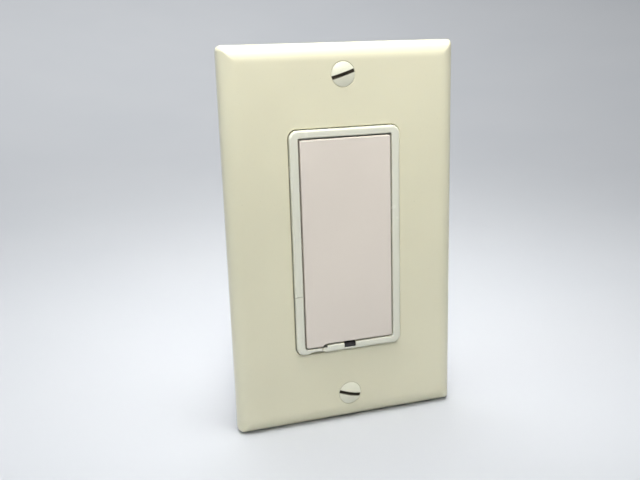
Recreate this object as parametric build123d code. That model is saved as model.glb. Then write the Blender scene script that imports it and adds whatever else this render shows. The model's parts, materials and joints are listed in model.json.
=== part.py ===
from build123d import *
import os

# Wall dimmer with a full-face rocking paddle and a pull-out service lever, behind a
# one-gang wallplate. Millimetres. +Z is up and the front faces -Y. The origin is the
# middle of the wall plane, half way between the two screws that enter the wall box.

# ---------------------------------------------------------------- driving dimensions
# Wallplate
plate_width = 69.85
plate_height = 114.3
plate_depth = 5.6            # wall to front face
plate_rim = 1.5              # straight side before the rolled edge starts
plate_roll_width = 4.8       # rolled edge, seen from the front
plate_wall = 2.0
plate_corner = 1.6
opening_gap = 0.25           # plate opening to bezel
boss_radius = 3.0
rib_height = 1.4
rib_width = 1.2

# Screws, 6-32 thread
thread_radius = 1.75
thread_clearance = 0.05
plate_screw_half_spacing = 48.42
plate_screw_length = 11.6
oval_head_radius = 3.5
oval_head_crown = 0.75
slot_width = 1.0
slot_depth = 0.85
upper_slot_angle = 17.0
lower_slot_angle = -16.0
box_screw_half_spacing = 41.67
box_screw_length = 24.0
box_screw_head_radius = 3.2
box_screw_head_height = 1.5
captive_neck_radius = 1.4
thread_start = 0.3           # behind the wall plane
retainer_thickness = 0.4
retainer_radius = 4.2
screw_slot_length = 6.5
screw_slot_clearance = 0.2

# Bezel frame
bezel_width = 33.2
bezel_height = 67.0
bezel_corner = 2.4
bezel_front = 6.7            # wall plane to bezel face
bezel_outer_round = 0.7
bezel_inner_round = 0.4
side_bar = 2.48
end_bar = 2.28
frame_floor = 0.9
snap_width = 3.0
snap_thickness = 1.1
snap_hook = 0.7
snap_z = 27.0
snap_x = 10.5
snap_reach = 1.7             # how far the legs reach behind the wall plane
tower_half = 2.2
tower_front = 1.1            # tower ahead of the pivot rod's axis

# Paddle
paddle_gap = 0.44
paddle_skin = 1.5
paddle_round = 0.35
paddle_corner = 0.5
paddle_rib = 0.8
paddle_rib_half = 0.5
paddle_rib_x = 7.0
paddle_rib_spread = 12.4
paddle_rib_z = (-24.0, -16.0, -8.0, 8.0, 16.0, 24.0)
spring_thickness = 0.25
spring_width = 4.0
spring_flat = 3.0            # half of the flat middle
spring_bend = 14.0           # where each arm reaches the paddle
spring_end = 17.4
paddle_travel = 0.85         # how far each end moves when pressed
post_size = 3.0
post_z = 20.0
post_window = 5.6
tail_drop = 0.72             # how far the corner tail hangs below the paddle
tail_left_cut = 0.45
tail_right = -8.6
tail_slope = 0.9
pivot_y = -3.9
pivot_rod_radius = 0.6
running_gap = 0.05
ear_radius = 1.15
ear_width = 2.0
ear_x = 9.5
tower_width = 2.6

# Service lever in the bezel's lower left corner
lever_top = -15.1
lever_thickness = 2.1
lever_pivot_y = -4.3
lever_pivot_z = -13.0
lever_pin_radius = 0.45
lever_neck_width = 1.15
lever_neck_half = 0.65
lever_cheek_gap = 0.15
knuckle_gap = 0.15
lever_gap = 0.4
foot_gap = 0.2               # foot to the rest of the bottom bar
foot_right = -8.9
nail_rise = 0.8
nail_left = -13.9
nail_right = -7.1
blade_width = 1.0
blade_low = -25.2
blade_high = -21.6
blade_reach = 1.6
blade_slot_low = -27.6
blade_slot_high = -20.6
tip_thickness = 0.6
lever_hub_radius = 0.95
leaf_width = 1.6
leaf_thickness = 0.25
leaf_gap = 0.08
leaf_root_low = -18.0
leaf_root_high = -16.0
contact_gap = 0.05
contact_radius = 0.75
contact_height = 0.6
contact_post_half = 1.5

# Indicator window
window_width = 3.7
window_height = 1.35
window_drop = 0.12
window_recess = 0.2
window_depth = 1.6
window_gap = 0.04
pipe_width = 3.0
pipe_rise = 3.4              # how far the lamp sits above the window
lamp_length = 2.0
lamp_radius = 0.75
lamp_base_width = 3.0
lamp_base_height = 1.6
lamp_dome_length = 0.7

# Heat-sink yoke
yoke_thickness = 1.5
yoke_margin = 1.5            # how far the yoke's middle reaches past the housing's sides
yoke_height = 104.8
yoke_corner = 4.0
fin_gap = 1.925              # fin edge to the plate's inner side
fin_height = 60.0
score_depth = 0.9
score_width = 1.0

ground_x = -13.0
ground_z = -39.0
ground_head_radius = 3.6
ground_head_height = 2.0
ground_slot_angle = 30
ground_shank_end = 0.5

# Housing
housing_overhang = 3.9       # how much wider than the bezel, on each side
housing_inset = 0.5          # how much shorter than the bezel, at each end
housing_depth = 31.0
housing_wall = 1.8
housing_corner = 2.0
housing_boss_radius = 3.2
housing_boss_inset = 3.6
housing_screw_radius = 1.2
housing_head_radius = 2.2
housing_head_height = 1.9
recess_length = 2.6
recess_width = 0.6
recess_depth = 0.9
counterbore_gap = 0.2
counterbore_depth = 2.5
panel_width = 22.0
panel_height = 26.0
panel_depth = 0.3
panel_z = 6.0
strip_length = 16.0
strip_width = 1.6
strip_depth = 0.6
strip_z = -20.0

# Terminals, two on each side
terminal_z = 14.0
block_height = 13.4
block_depth = 7.7            # block, measured in from the side of the housing
block_front = 8.0
pocket_wall = 1.2
pocket_back = 22.0
pocket_half = 5.5
terminal_plate = 1.0
terminal_clamp = 1.0
clamp_opening = 2.4
terminal_head_radius = 3.4
terminal_head_height = 1.9
terminal_screw_length = 5.4
wire_hole_radius = 1.3
wire_hole_offset = 3.3

# Circuit board and what stands on it
board_front = 5.8
board_thickness = 1.6
board_gap = 0.6
board_notch = 6.6
sheet_gap = 0.4
sheet_front = 0.02
sheet_back = 0.32
switch_size = 6.0
switch_height = 3.0
dome_radius = 1.7
dome_height = 1.0
dome_gap = 0.2
choke_outer = 10.4
choke_inner = 5.4
choke_height = 8.6
winding_thickness = 0.9
winding_gap = 0.05
choke_z = 14.0
choke_y = 14.6
triac_x = 8.0
triac_z = 2.0
triac_half = 5.0
triac_tab_front = 0.5
triac_tab_back = 1.8
triac_back = 4.7
triac_body_top = 1.0         # body's top edge above the middle of the tab
triac_length = 16.0
triac_hole_rise = 5.0
lead_pitch = 2.54
lead_half = 0.4
lead_front = 2.6
lead_thickness = 0.5
lead_length = 3.5
pad_margin = 0.6
pad_back = 0.48
rivet_radius = 1.4
rivet_head_radius = 2.3
rivet_back = 2.8
film_half_x = 8.5
film_low = -12.5
film_high = -4.5
film_height = 12.0
can_x = -6.0
can_z = -22.0
can_radius = 4.0
can_height = 12.0
varistor_z = -20.0
varistor_x0 = 3.2
varistor_x1 = 6.6
varistor_radius = 5.0
varistor_rise = 6.2
varistor_lead_spread = 2.5
varistor_lead_half = 0.3
fuse_z = -27.5
fuse_x0 = -4.0
fuse_x1 = 6.0
fuse_radius = 1.8
fuse_rise = 2.4
fuse_lead_radius = 0.4
fuse_lead_reach = 1.3
chip_x0 = -13.0
chip_x1 = -6.0
chip_z0 = 2.0
chip_z1 = 9.0
chip_height = 1.2
chip_leg_reach = 1.0
chip_leg_pitch = 1.25
chip_leg_half = 0.2
chip_leg_thickness = 0.3
opto_x0 = -11.5
opto_x1 = -5.0
opto_z0 = -8.0
opto_z1 = -1.0
opto_height = 3.2
opto_lift = 0.3
opto_leg_reach = 0.8
opto_leg_height = 1.4
opto_leg_pitch = 2.5
opto_leg_half = 0.3
resistor_x = -9.0
resistor_pitch = 2.4
resistor_width = 1.6
resistor_z0 = 12.0
resistor_z1 = 15.2
resistor_height = 0.6

# Joined solids overlap this much
overlap = 0.1

# ---------------------------------------------------------------- derived values
half_bezel_x = bezel_width / 2
half_bezel_z = bezel_height / 2
half_hole_x = half_bezel_x - side_bar      # bezel opening around the paddle
half_hole_z = half_bezel_z - end_bar
half_paddle_x = half_hole_x - paddle_gap
half_paddle_z = half_hole_z - paddle_gap
half_open_x = half_bezel_x + opening_gap   # wallplate opening
half_open_z = half_bezel_z + opening_gap
yoke_front = -yoke_thickness
fin_edge = plate_width / 2 - plate_wall - fin_gap
floor_front = yoke_front - frame_floor
plate_inside = -(plate_depth - plate_wall)
paddle_back = -bezel_front + paddle_skin
board_back = board_front + board_thickness
tail_bottom = -half_paddle_z - tail_drop
foot_top = tail_bottom - lever_gap
window_top = -half_hole_z - window_drop
window_bottom = window_top - window_height
lever_left = -half_bezel_x
lever_right = -half_hole_x
lever_x = (lever_left + lever_right) / 2
housing_width = bezel_width + 2 * housing_overhang
housing_height = bezel_height - 2 * housing_inset
yoke_width = housing_width + 2 * yoke_margin
boss_x = housing_width / 2 - housing_boss_inset
boss_z = housing_height / 2 - housing_boss_inset
inner_x = housing_width / 2 - housing_wall
inner_z = housing_height / 2 - housing_wall
block_inner_x = housing_width / 2 - block_depth
plate_x = block_inner_x + pocket_wall       # inner face of each terminal plate


# ---------------------------------------------------------------- shape helpers
def block(x0, x1, y0, y1, z0, z1):
    """A box between two opposite corners."""
    return Pos((x0 + x1) / 2, (y0 + y1) / 2, (z0 + z1) / 2) * Box(x1 - x0, y1 - y0, z1 - z0)


def rod_y(x, z, y0, y1, radius):
    """A round bar along Y."""
    return Pos(x, (y0 + y1) / 2, z) * Rot(90, 0, 0) * Cylinder(radius, y1 - y0)


def rod_x(y, z, x0, x1, radius):
    """A round bar along X."""
    return Pos((x0 + x1) / 2, y, z) * Rot(0, 90, 0) * Cylinder(radius, x1 - x0)


def prism_y(face, y0, y1):
    """A face drawn in X and Z, pulled from y0 to y1."""
    return extrude(Plane.XZ.offset(-y1) * face, amount=y1 - y0)


def rounded(width, height, radius):
    """A rectangle with round corners, drawn in X and Z."""
    return RectangleRounded(width, height, radius)


def front_edges(solid, y):
    """The edges that lie in the plane at this Y."""
    return solid.edges().filter_by(lambda edge: abs(edge.bounding_box().min.Y - y) < 1e-4
                                   and abs(edge.bounding_box().max.Y - y) < 1e-4)


def both_ends(make):
    """The same piece at +Z and at -Z."""
    return make(1) + make(-1)


def all_corners(make):
    """The same piece in all four corners, as a list."""
    return [make(sx, sz) for sx in (1, -1) for sz in (1, -1)]


# ---------------------------------------------------------------- wallplate
def rolled_profile(half_width, front, rim, roll_width):
    """Section of the plate: straight sides, elliptical rolls and a flat front."""
    roll_height = front - rim
    flat = half_width - roll_width
    right = EllipticalCenterArc((flat, rim), roll_width, roll_height, start_angle=0, arc_size=90)
    left = mirror(right, about=Plane.YZ)
    lines = [
        Line((-half_width, 0), (half_width, 0)),
        Line((half_width, 0), (half_width, rim)),
        right,
        Line((flat, front), (-flat, front)),
        left,
        Line((-half_width, rim), (-half_width, 0)),
    ]
    return make_face(Curve() + lines)


def rolled_slab(width, height, front, rim, roll_width):
    """A slab whose four front edges roll over and meet in mitred corners."""
    across = Plane(origin=(0, 0, height / 2), x_dir=(1, 0, 0), z_dir=(0, 0, -1))
    upright = Plane(origin=(-width / 2, 0, 0), x_dir=(0, 0, 1), z_dir=(1, 0, 0))
    along_z = extrude(across * rolled_profile(width / 2, front, rim, roll_width), amount=height)
    along_x = extrude(upright * rolled_profile(height / 2, front, rim, roll_width), amount=width)
    return along_z & along_x


def plate_ribs():
    """Stiffening ribs on the inside of the plate, around the opening and across it."""
    low = plate_inside
    high = plate_inside + rib_height
    outer = rounded(2 * (half_open_x + rib_width), 2 * (half_open_z + rib_width), bezel_corner + rib_width)
    ribs = prism_y(outer, low, high)
    edge_x = plate_width / 2 - plate_wall - 1.0
    for z in (-25.0, 0.0, 25.0):
        ribs += block(-edge_x, edge_x, low, high, z - rib_width / 2, z + rib_width / 2)
    for x in (-12.0, 12.0):
        ribs += block(x - rib_width / 2, x + rib_width / 2, low, high, -40.0, 40.0)
    return ribs


def countersink(z, grow):
    """The cone that an oval-head screw sits in, grown by a clearance."""
    top = oval_head_radius + grow
    depth = top - thread_radius - grow
    cone = Pos(0, -plate_depth + depth / 2, z) * Rot(90, 0, 0) * Cone(thread_radius + grow, top, depth)
    return cone


def make_wallplate():
    shell = rolled_slab(plate_width, plate_height, plate_depth, plate_rim, plate_roll_width)
    shell &= prism_y(rounded(plate_width, plate_height, plate_corner), -plate_depth - 1, 1)
    inner_width = plate_width - 2 * plate_wall
    inner_height = plate_height - 2 * plate_wall
    inner_roll = plate_roll_width - plate_wall / 2
    cavity = rolled_slab(inner_width, inner_height, -plate_inside, plate_rim, inner_roll)
    shell -= cavity
    shell += plate_ribs()
    for z in (plate_screw_half_spacing, -plate_screw_half_spacing):
        shell += rod_y(0, z, plate_inside - 0.2, yoke_front, boss_radius)
    opening = prism_y(rounded(2 * half_open_x, 2 * half_open_z, bezel_corner + opening_gap),
                      -plate_depth - 1, 1)
    shell -= opening
    for z in (plate_screw_half_spacing, -plate_screw_half_spacing):
        shell -= rod_y(0, z, -plate_depth - 1, 1, thread_radius + screw_slot_clearance)
        shell -= countersink(z, thread_clearance)
    rim = front_edges(shell, -plate_depth).filter_by(
        lambda edge: abs(edge.center().Z) <= half_open_z + 0.01 and abs(edge.center().X) <= half_open_x + 0.01)
    return fillet(rim, 0.3)


def oval_screw(z, slot_angle):
    """Countersunk screw with a domed, slotted head."""
    depth = oval_head_radius - thread_radius
    cone = Pos(0, -plate_depth + depth / 2, z) * Rot(90, 0, 0) * Cone(thread_radius, oval_head_radius, depth)
    sphere_radius = (oval_head_radius ** 2 + oval_head_crown ** 2) / (2 * oval_head_crown)
    dome = Pos(0, -plate_depth - oval_head_crown + sphere_radius, z) * Sphere(sphere_radius)
    dome &= rod_y(0, z, -plate_depth - 2, -plate_depth, oval_head_radius)
    shank = rod_y(0, z, -plate_depth + depth, -plate_depth + plate_screw_length, thread_radius)
    slot = Box(2 * oval_head_radius + 2, 2 * slot_depth, slot_width)
    slot = Pos(0, -plate_depth - oval_head_crown, z) * Rot(0, -slot_angle, 0) * slot
    return cone + dome + shank - slot


def make_wallplate_screws():
    return Compound([oval_screw(plate_screw_half_spacing, upper_slot_angle),
                     oval_screw(-plate_screw_half_spacing, lower_slot_angle)])


# ---------------------------------------------------------------- bezel ring, shared by frame and lever
def bezel_ring():
    """The whole picture-frame ring before the lever is parted from it."""
    ring = prism_y(rounded(bezel_width, bezel_height, bezel_corner), -bezel_front, yoke_front)
    ring = fillet(front_edges(ring, -bezel_front), bezel_outer_round)
    ring -= prism_y(rounded(2 * half_hole_x, 2 * half_hole_z, paddle_corner), -bezel_front - 1, 1)
    inner = front_edges(ring, -bezel_front).filter_by(
        lambda edge: abs(edge.center().X) < half_hole_x + 0.01 and abs(edge.center().Z) < half_hole_z + 0.01)
    return fillet(inner, bezel_inner_round)


def polygon(*points):
    """A straight-sided face in X and Z."""
    return make_face(Polyline(*points, close=True))


def knuckle(radius):
    """Round bar about the lever's pivot, as wide as the side bar."""
    return rod_x(lever_pivot_y, lever_pivot_z, lever_left - 1, lever_right + 1, radius)


def knuckle_radius():
    """From the pivot to the lever's end on the front face."""
    return ((bezel_front + lever_pivot_y) ** 2 + (lever_pivot_z - lever_top) ** 2) ** 0.5


def lever_outline():
    """What belongs to the lever: the side bar below its pivot, and the foot."""
    low = -half_bezel_z - 1
    return polygon((lever_left - 1, lever_pivot_z), (lever_right, lever_pivot_z),
                   (lever_right, tail_bottom + tail_left_cut - lever_gap / 2),
                   (lever_right + tail_left_cut, foot_top), (foot_right, foot_top),
                   (foot_right, low), (lever_left - 1, low))


def lever_clearance():
    """What the frame gives up to the lever and to the paddle's tail."""
    low = -half_bezel_z - 1
    end = foot_right + foot_gap
    return polygon((lever_left - 1, lever_pivot_z), (lever_right + 0.1, lever_pivot_z),
                   (lever_right + 0.1, -half_hole_z + 0.3), (tail_right + tail_slope + 0.5, -half_hole_z + 0.3),
                   (tail_right + tail_slope + 0.5, -half_hole_z - 0.02), (end, foot_top - 0.35),
                   (end, low), (lever_left - 1, low))


def nail_scallop():
    """The shallow hollow under the foot that a fingernail pulls on."""
    low = -half_bezel_z - 0.05
    arc = ThreePointArc((nail_left, low), ((nail_left + nail_right) / 2, -half_bezel_z + nail_rise),
                        (nail_right, low))
    face = make_face(Curve() + [arc, Line((nail_right, low), (nail_left, low))])
    return prism_y(face, -bezel_front - 1, -bezel_front + lever_thickness + 0.3)


def paddle_posts_windows(y0, y1):
    """Square windows for the two posts behind the paddle."""
    return both_ends(lambda s: block(-post_window / 2, post_window / 2, y0, y1,
                                     s * post_z - post_window / 2, s * post_z + post_window / 2))


def blade_window(y0, y1):
    half = blade_width / 2 + 0.25
    return block(lever_x - half, lever_x + half, y0, y1, blade_slot_low, blade_slot_high)


def pipe_window(y0, y1):
    half = pipe_width / 2 + 0.3
    return block(-half, half, y0, y1, window_bottom - 0.2, -half_hole_z + 3.6)


def snap_leg(sx, sz, grow):
    """A leg behind the frame with a hook that catches the back of the yoke."""
    x0 = sx * snap_x - snap_width / 2 - grow
    x1 = sx * snap_x + snap_width / 2 + grow
    z0 = sz * snap_z - snap_thickness / 2 - grow
    z1 = sz * snap_z + snap_thickness / 2 + grow
    return x0, x1, z0, z1


def snap_legs():
    legs = None
    for sx in (1, -1):
        for sz in (1, -1):
            x0, x1, z0, z1 = snap_leg(sx, sz, 0)
            leg = block(x0, x1, yoke_front - overlap, snap_reach, z0, z1)
            hook = block(x0, x1, 0.12, snap_reach, z0 + min(sz, 0) * snap_hook, z1 + max(sz, 0) * snap_hook)
            legs = leg + hook if legs is None else legs + leg + hook
    return legs


def make_bezel_frame():
    frame = bezel_ring()
    floor = prism_y(rounded(bezel_width - 1, bezel_height - 1, bezel_corner - 0.5), floor_front, yoke_front)
    frame += floor
    # Bearing towers for the paddle's pivot rod.
    for side in (1, -1):
        inner = side * (half_hole_x - tower_width)
        outer = side * (half_hole_x + 0.2)
        frame += block(min(inner, outer), max(inner, outer), pivot_y - tower_front, floor_front + overlap,
                       -tower_half, tower_half)
    frame += block(lever_right - 0.2, lever_right + 0.9, lever_pivot_y - 0.4, floor_front + overlap,
                   lever_pivot_z - 3, lever_pivot_z + 1.6)
    frame -= paddle_posts_windows(-bezel_front, 0.5)
    # Part the lever's corner away, leaving a ledge behind it and a round knuckle above it.
    behind = -bezel_front + lever_thickness + knuckle_gap
    corner = prism_y(lever_clearance(), -bezel_front - 1, behind)
    frame -= corner - knuckle(knuckle_radius() - knuckle_gap)
    # A deeper pocket for the paddle's tail, which sinks when the paddle's lower end is pressed.
    frame -= block(lever_right, tail_right + tail_slope + 0.5, -bezel_front - 1,
                   paddle_back + paddle_travel + 0.3, foot_top, -half_hole_z + 0.3)
    half = lever_neck_width / 2 + lever_cheek_gap
    frame -= block(lever_x - half, lever_x + half, lever_pivot_y - 1.3, yoke_front + 0.1,
                   lever_pivot_z - 4.4, lever_pivot_z + 1.3)
    frame -= blade_window(-bezel_front, 0.5)
    frame -= rod_x(lever_pivot_y, lever_pivot_z, lever_left - 1, lever_right + 2, lever_pin_radius)
    frame -= rod_x(pivot_y, 0, -half_hole_x, half_hole_x, pivot_rod_radius)
    frame -= nail_scallop()
    # Indicator window notch and the light pipe's passage.
    half_window = window_width / 2
    frame -= block(-half_window, half_window, -bezel_front - 1, floor_front, window_bottom - window_gap,
                   -half_hole_z + 0.3)
    frame -= pipe_window(-bezel_front + window_recess + window_depth, 0.5)
    return frame + snap_legs()


# ---------------------------------------------------------------- paddle
def paddle_face():
    """The paddle seen from the front, with its tail in the lower left corner."""
    body = rounded(2 * half_paddle_x, 2 * half_paddle_z, paddle_corner)
    left = -half_paddle_x
    tail = polygon((left, -half_paddle_z + 1), (left, tail_bottom + tail_left_cut),
                   (left + tail_left_cut, tail_bottom), (tail_right, tail_bottom),
                   (tail_right + tail_slope, -half_paddle_z), (tail_right + tail_slope, -half_paddle_z + 1))
    return body + tail


def make_paddle():
    paddle = prism_y(paddle_face(), -bezel_front, paddle_back)
    paddle = fillet(front_edges(paddle, -bezel_front), paddle_round)
    rib_back = paddle_back + paddle_rib
    rib_front = paddle_back - overlap
    for x in (-paddle_rib_x, paddle_rib_x):
        paddle += block(x - paddle_rib_half, x + paddle_rib_half, rib_front, rib_back,
                        -half_paddle_z + 2, half_paddle_z - 2)
    for z in paddle_rib_z:
        paddle += block(-paddle_rib_spread, paddle_rib_spread, rib_front, rib_back,
                        z - paddle_rib_half, z + paddle_rib_half)
    for sz in (1, -1):
        z0 = sz * post_z - post_size / 2
        z1 = sz * post_z + post_size / 2
        post = block(-post_size / 2, post_size / 2, paddle_back - overlap, dome_tip() - dome_gap, z0, z1)
        paddle += post
    for sx in (1, -1):
        x0 = sx * ear_x - ear_width / 2
        x1 = sx * ear_x + ear_width / 2
        ear = block(x0, x1, paddle_back - overlap, pivot_y, -ear_radius, ear_radius)
        ear += rod_x(pivot_y, 0, x0, x1, ear_radius)
        paddle += ear
    paddle -= rod_x(pivot_y, 0, -half_paddle_x - 1, half_paddle_x + 1, pivot_rod_radius + running_gap)
    # Room for the lever's bearing cheek behind the paddle's left edge.
    paddle -= block(lever_right, lever_right + 2.0, paddle_back + 0.01, 0, lever_pivot_z - 3.6,
                    lever_pivot_z + 2.2)
    return paddle


def make_pivot_rod():
    return rod_x(pivot_y, 0, -half_hole_x, half_hole_x, pivot_rod_radius)


def make_return_spring():
    """Bent strip: its middle lies on the frame's floor and its ends press the paddle's ribs."""
    low = floor_front - 0.05
    high = paddle_back + paddle_rib + 0.05
    back = high + spring_thickness
    slant = 0.1
    outer = spring_flat + 2 * slant
    outline = []
    for side in (-1, 1):
        half = [(low - spring_thickness, side * outer), (high, side * spring_bend), (high, side * spring_end),
                (back, side * spring_end), (back, side * (spring_bend - slant)),
                (low, side * (spring_flat - slant))]
        outline += half if side < 0 else half[::-1]
    plane = Plane(origin=(-spring_width / 2, 0, 0), x_dir=(0, 1, 0), z_dir=(1, 0, 0))
    return extrude(plane * make_face(Polyline(*outline, close=True)), amount=spring_width)


# ---------------------------------------------------------------- service lever
def make_service_lever():
    front = bezel_ring() & prism_y(lever_outline(), -bezel_front - 1, -bezel_front + lever_thickness)
    front -= knuckle(knuckle_radius())
    front -= nail_scallop()
    neck_x0 = lever_x - lever_neck_width / 2
    neck_x1 = lever_x + lever_neck_width / 2
    neck = block(neck_x0, neck_x1, lever_pivot_y - lever_neck_half, lever_pivot_y + lever_neck_half,
                 lever_pivot_z - knuckle_radius() - 0.6, lever_pivot_z)
    neck += rod_x(lever_pivot_y, lever_pivot_z, neck_x0, neck_x1, lever_hub_radius)
    neck -= rod_x(lever_pivot_y, lever_pivot_z, lever_left, lever_right, lever_pin_radius + running_gap)
    blade = block(lever_x - blade_width / 2, lever_x + blade_width / 2,
                  -bezel_front + lever_thickness - 0.2, blade_reach, blade_low, blade_high)
    return front + neck + blade


def make_lever_pin():
    return rod_x(lever_pivot_y, lever_pivot_z, lever_left + 0.05, lever_right + 0.4, lever_pin_radius)


def make_lever_tip():
    """Brass cap on the end of the lever's blade."""
    half = blade_width / 2
    return block(lever_x - half, lever_x + half, blade_reach, blade_reach + tip_thickness,
                 blade_low + 0.2, blade_high - 0.2)


def leaf_front():
    return blade_reach + tip_thickness + leaf_gap


def make_air_gap_leaf():
    """Spring strip that the lever's tip holds against the fixed contact."""
    face = leaf_front()
    x0 = lever_x - leaf_width / 2
    x1 = lever_x + leaf_width / 2
    strip = block(x0, x1, face, face + leaf_thickness, blade_low - 0.5, leaf_root_high)
    root = block(x0, x1, face + leaf_thickness - 0.05, board_front, leaf_root_low, leaf_root_high)
    return strip + root


def make_air_gap_contact():
    face = leaf_front() + leaf_thickness + contact_gap
    middle = (blade_low + blade_high) / 2
    post = block(lever_x - leaf_width / 2, lever_x + leaf_width / 2, face + contact_height, board_front,
                 middle - contact_post_half, middle + contact_post_half)
    return post + rod_y(lever_x, middle, face, face + contact_height + overlap, contact_radius)


# ---------------------------------------------------------------- indicator
def make_indicator_window():
    half = window_width / 2 - window_gap
    lens = block(-half, half, -bezel_front + window_recess, -bezel_front + window_recess + window_depth,
                 window_bottom, window_top)
    return fillet(front_edges(lens, -bezel_front + window_recess), 0.15)


def make_light_pipe():
    """Clear bar that carries the lamp's light down and forward to the window."""
    front = -bezel_front + window_recess + window_depth
    back = led_front() - 0.2
    low = window_bottom + 0.1
    high = window_top - 0.1
    side = make_face(Polyline((front, low), (front, high), (back, high + pipe_rise),
                              (back, low + pipe_rise), close=True))
    plane = Plane(origin=(-pipe_width / 2, 0, 0), x_dir=(0, 1, 0), z_dir=(1, 0, 0))
    return extrude(plane * side, amount=pipe_width)


def led_front():
    return board_front - lamp_length


def make_indicator_led():
    z = (window_bottom + window_top) / 2 + pipe_rise
    half_x = lamp_base_width / 2
    half_z = lamp_base_height / 2
    base = block(-half_x, half_x, led_front() + lamp_dome_length, board_front, z - half_z, z + half_z)
    return base + rod_y(0, z, led_front(), led_front() + lamp_dome_length + overlap, lamp_radius)


# ---------------------------------------------------------------- yoke
def box_screw_slot(z, y0, y1):
    face = SlotOverall(screw_slot_length, 2 * (thread_radius + screw_slot_clearance))
    return prism_y(Pos(0, z) * face, y0, y1)


def make_yoke():
    yoke = prism_y(rounded(yoke_width, yoke_height, yoke_corner), yoke_front, 0)
    for sx in (1, -1):
        x0 = sx * (yoke_width / 2 - 0.5)
        x1 = sx * fin_edge
        yoke += block(min(x0, x1), max(x0, x1), yoke_front, 0, -fin_height / 2, fin_height / 2)
        score = sx * (yoke_width / 2 + 0.3)
        yoke -= block(score - score_width / 2, score + score_width / 2, yoke_front - 1,
                      yoke_front + score_depth, -fin_height, fin_height)
        for z in (-15.0, 15.0):
            yoke -= block(score - score_width / 2, score + score_width / 2, yoke_front - 1, 1, z - 4, z + 4)
    for z in (plate_screw_half_spacing, -plate_screw_half_spacing):
        yoke -= rod_y(0, z, -5, 5, thread_radius + thread_clearance)
    for z in (box_screw_half_spacing, -box_screw_half_spacing):
        yoke -= box_screw_slot(z, -5, 5)
    yoke -= paddle_posts_windows(-5, 5)
    yoke -= blade_window(-5, 5)
    yoke -= pipe_window(-5, 5)
    for sx in (1, -1):
        for sz in (1, -1):
            x0, x1, z0, z1 = snap_leg(sx, sz, 0.15)
            yoke -= block(x0, x1, -5, 5, z0, z1)
            yoke -= rod_y(sx * boss_x, sz * boss_z, -5, 5, housing_screw_radius + thread_clearance)
    yoke -= rod_y(ground_x, ground_z, -5, 5, thread_radius + thread_clearance)
    yoke -= rod_y(triac_x, triac_z + 5.0, -5, 5, rivet_radius + thread_clearance)
    return yoke


def captive_screw(x, z, head_front, length, head_radius, head_height, angle):
    """Slotted pan-head screw along +Y, thin below its head where the retainer holds it."""
    head = rod_y(x, z, head_front, head_front + head_height, head_radius)
    head = fillet(front_edges(head, head_front), head_height * 0.4)
    neck = rod_y(x, z, head_front + head_height, thread_start, captive_neck_radius)
    thread = rod_y(x, z, thread_start, head_front + head_height + length, thread_radius)
    slot = Pos(x, head_front, z) * Rot(0, angle, 0) * Box(2 * head_radius + 2, 1.4, slot_width)
    return head + neck + thread - slot


def make_box_screws():
    front = yoke_front - retainer_thickness - box_screw_head_height
    return Compound([captive_screw(0, s * box_screw_half_spacing, front, box_screw_length,
                               box_screw_head_radius, box_screw_head_height, s * 40) for s in (1, -1)])


def make_screw_retainers():
    """Fibre washers that keep the box screws from falling out."""
    rings = []
    for s in (1, -1):
        z = s * box_screw_half_spacing
        ring = block(-retainer_radius, retainer_radius, yoke_front - retainer_thickness, yoke_front,
                     z - box_screw_head_radius, z + box_screw_head_radius)
        rings.append(ring - rod_y(0, z, -5, 5, captive_neck_radius + 0.02))
    return Compound(rings)


def make_ground_screw():
    head = rod_y(ground_x, ground_z, 0, ground_head_height, ground_head_radius)
    head = fillet(front_edges(head, ground_head_height), 0.3 * ground_head_height)
    slot = Box(2 * ground_head_radius + 2, 1.4, slot_width)
    head -= Pos(ground_x, ground_head_height, ground_z) * Rot(0, ground_slot_angle, 0) * slot
    return head + rod_y(ground_x, ground_z, -ground_head_height, ground_shank_end, thread_radius)


# ---------------------------------------------------------------- housing and terminals
def terminal_sites():
    return [(sx, sz * terminal_z) for sx in (1, -1) for sz in (1, -1)]


def side_block(sx, x0, x1, y0, y1, z0, z1):
    """A box given by distances from the middle plane, on one side of it."""
    return block(min(sx * x0, sx * x1), max(sx * x0, sx * x1), y0, y1, z0, z1)


def clamp_x():
    return plate_x + terminal_plate + clamp_opening


def wire_x():
    return plate_x + terminal_plate + clamp_opening / 2


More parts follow.
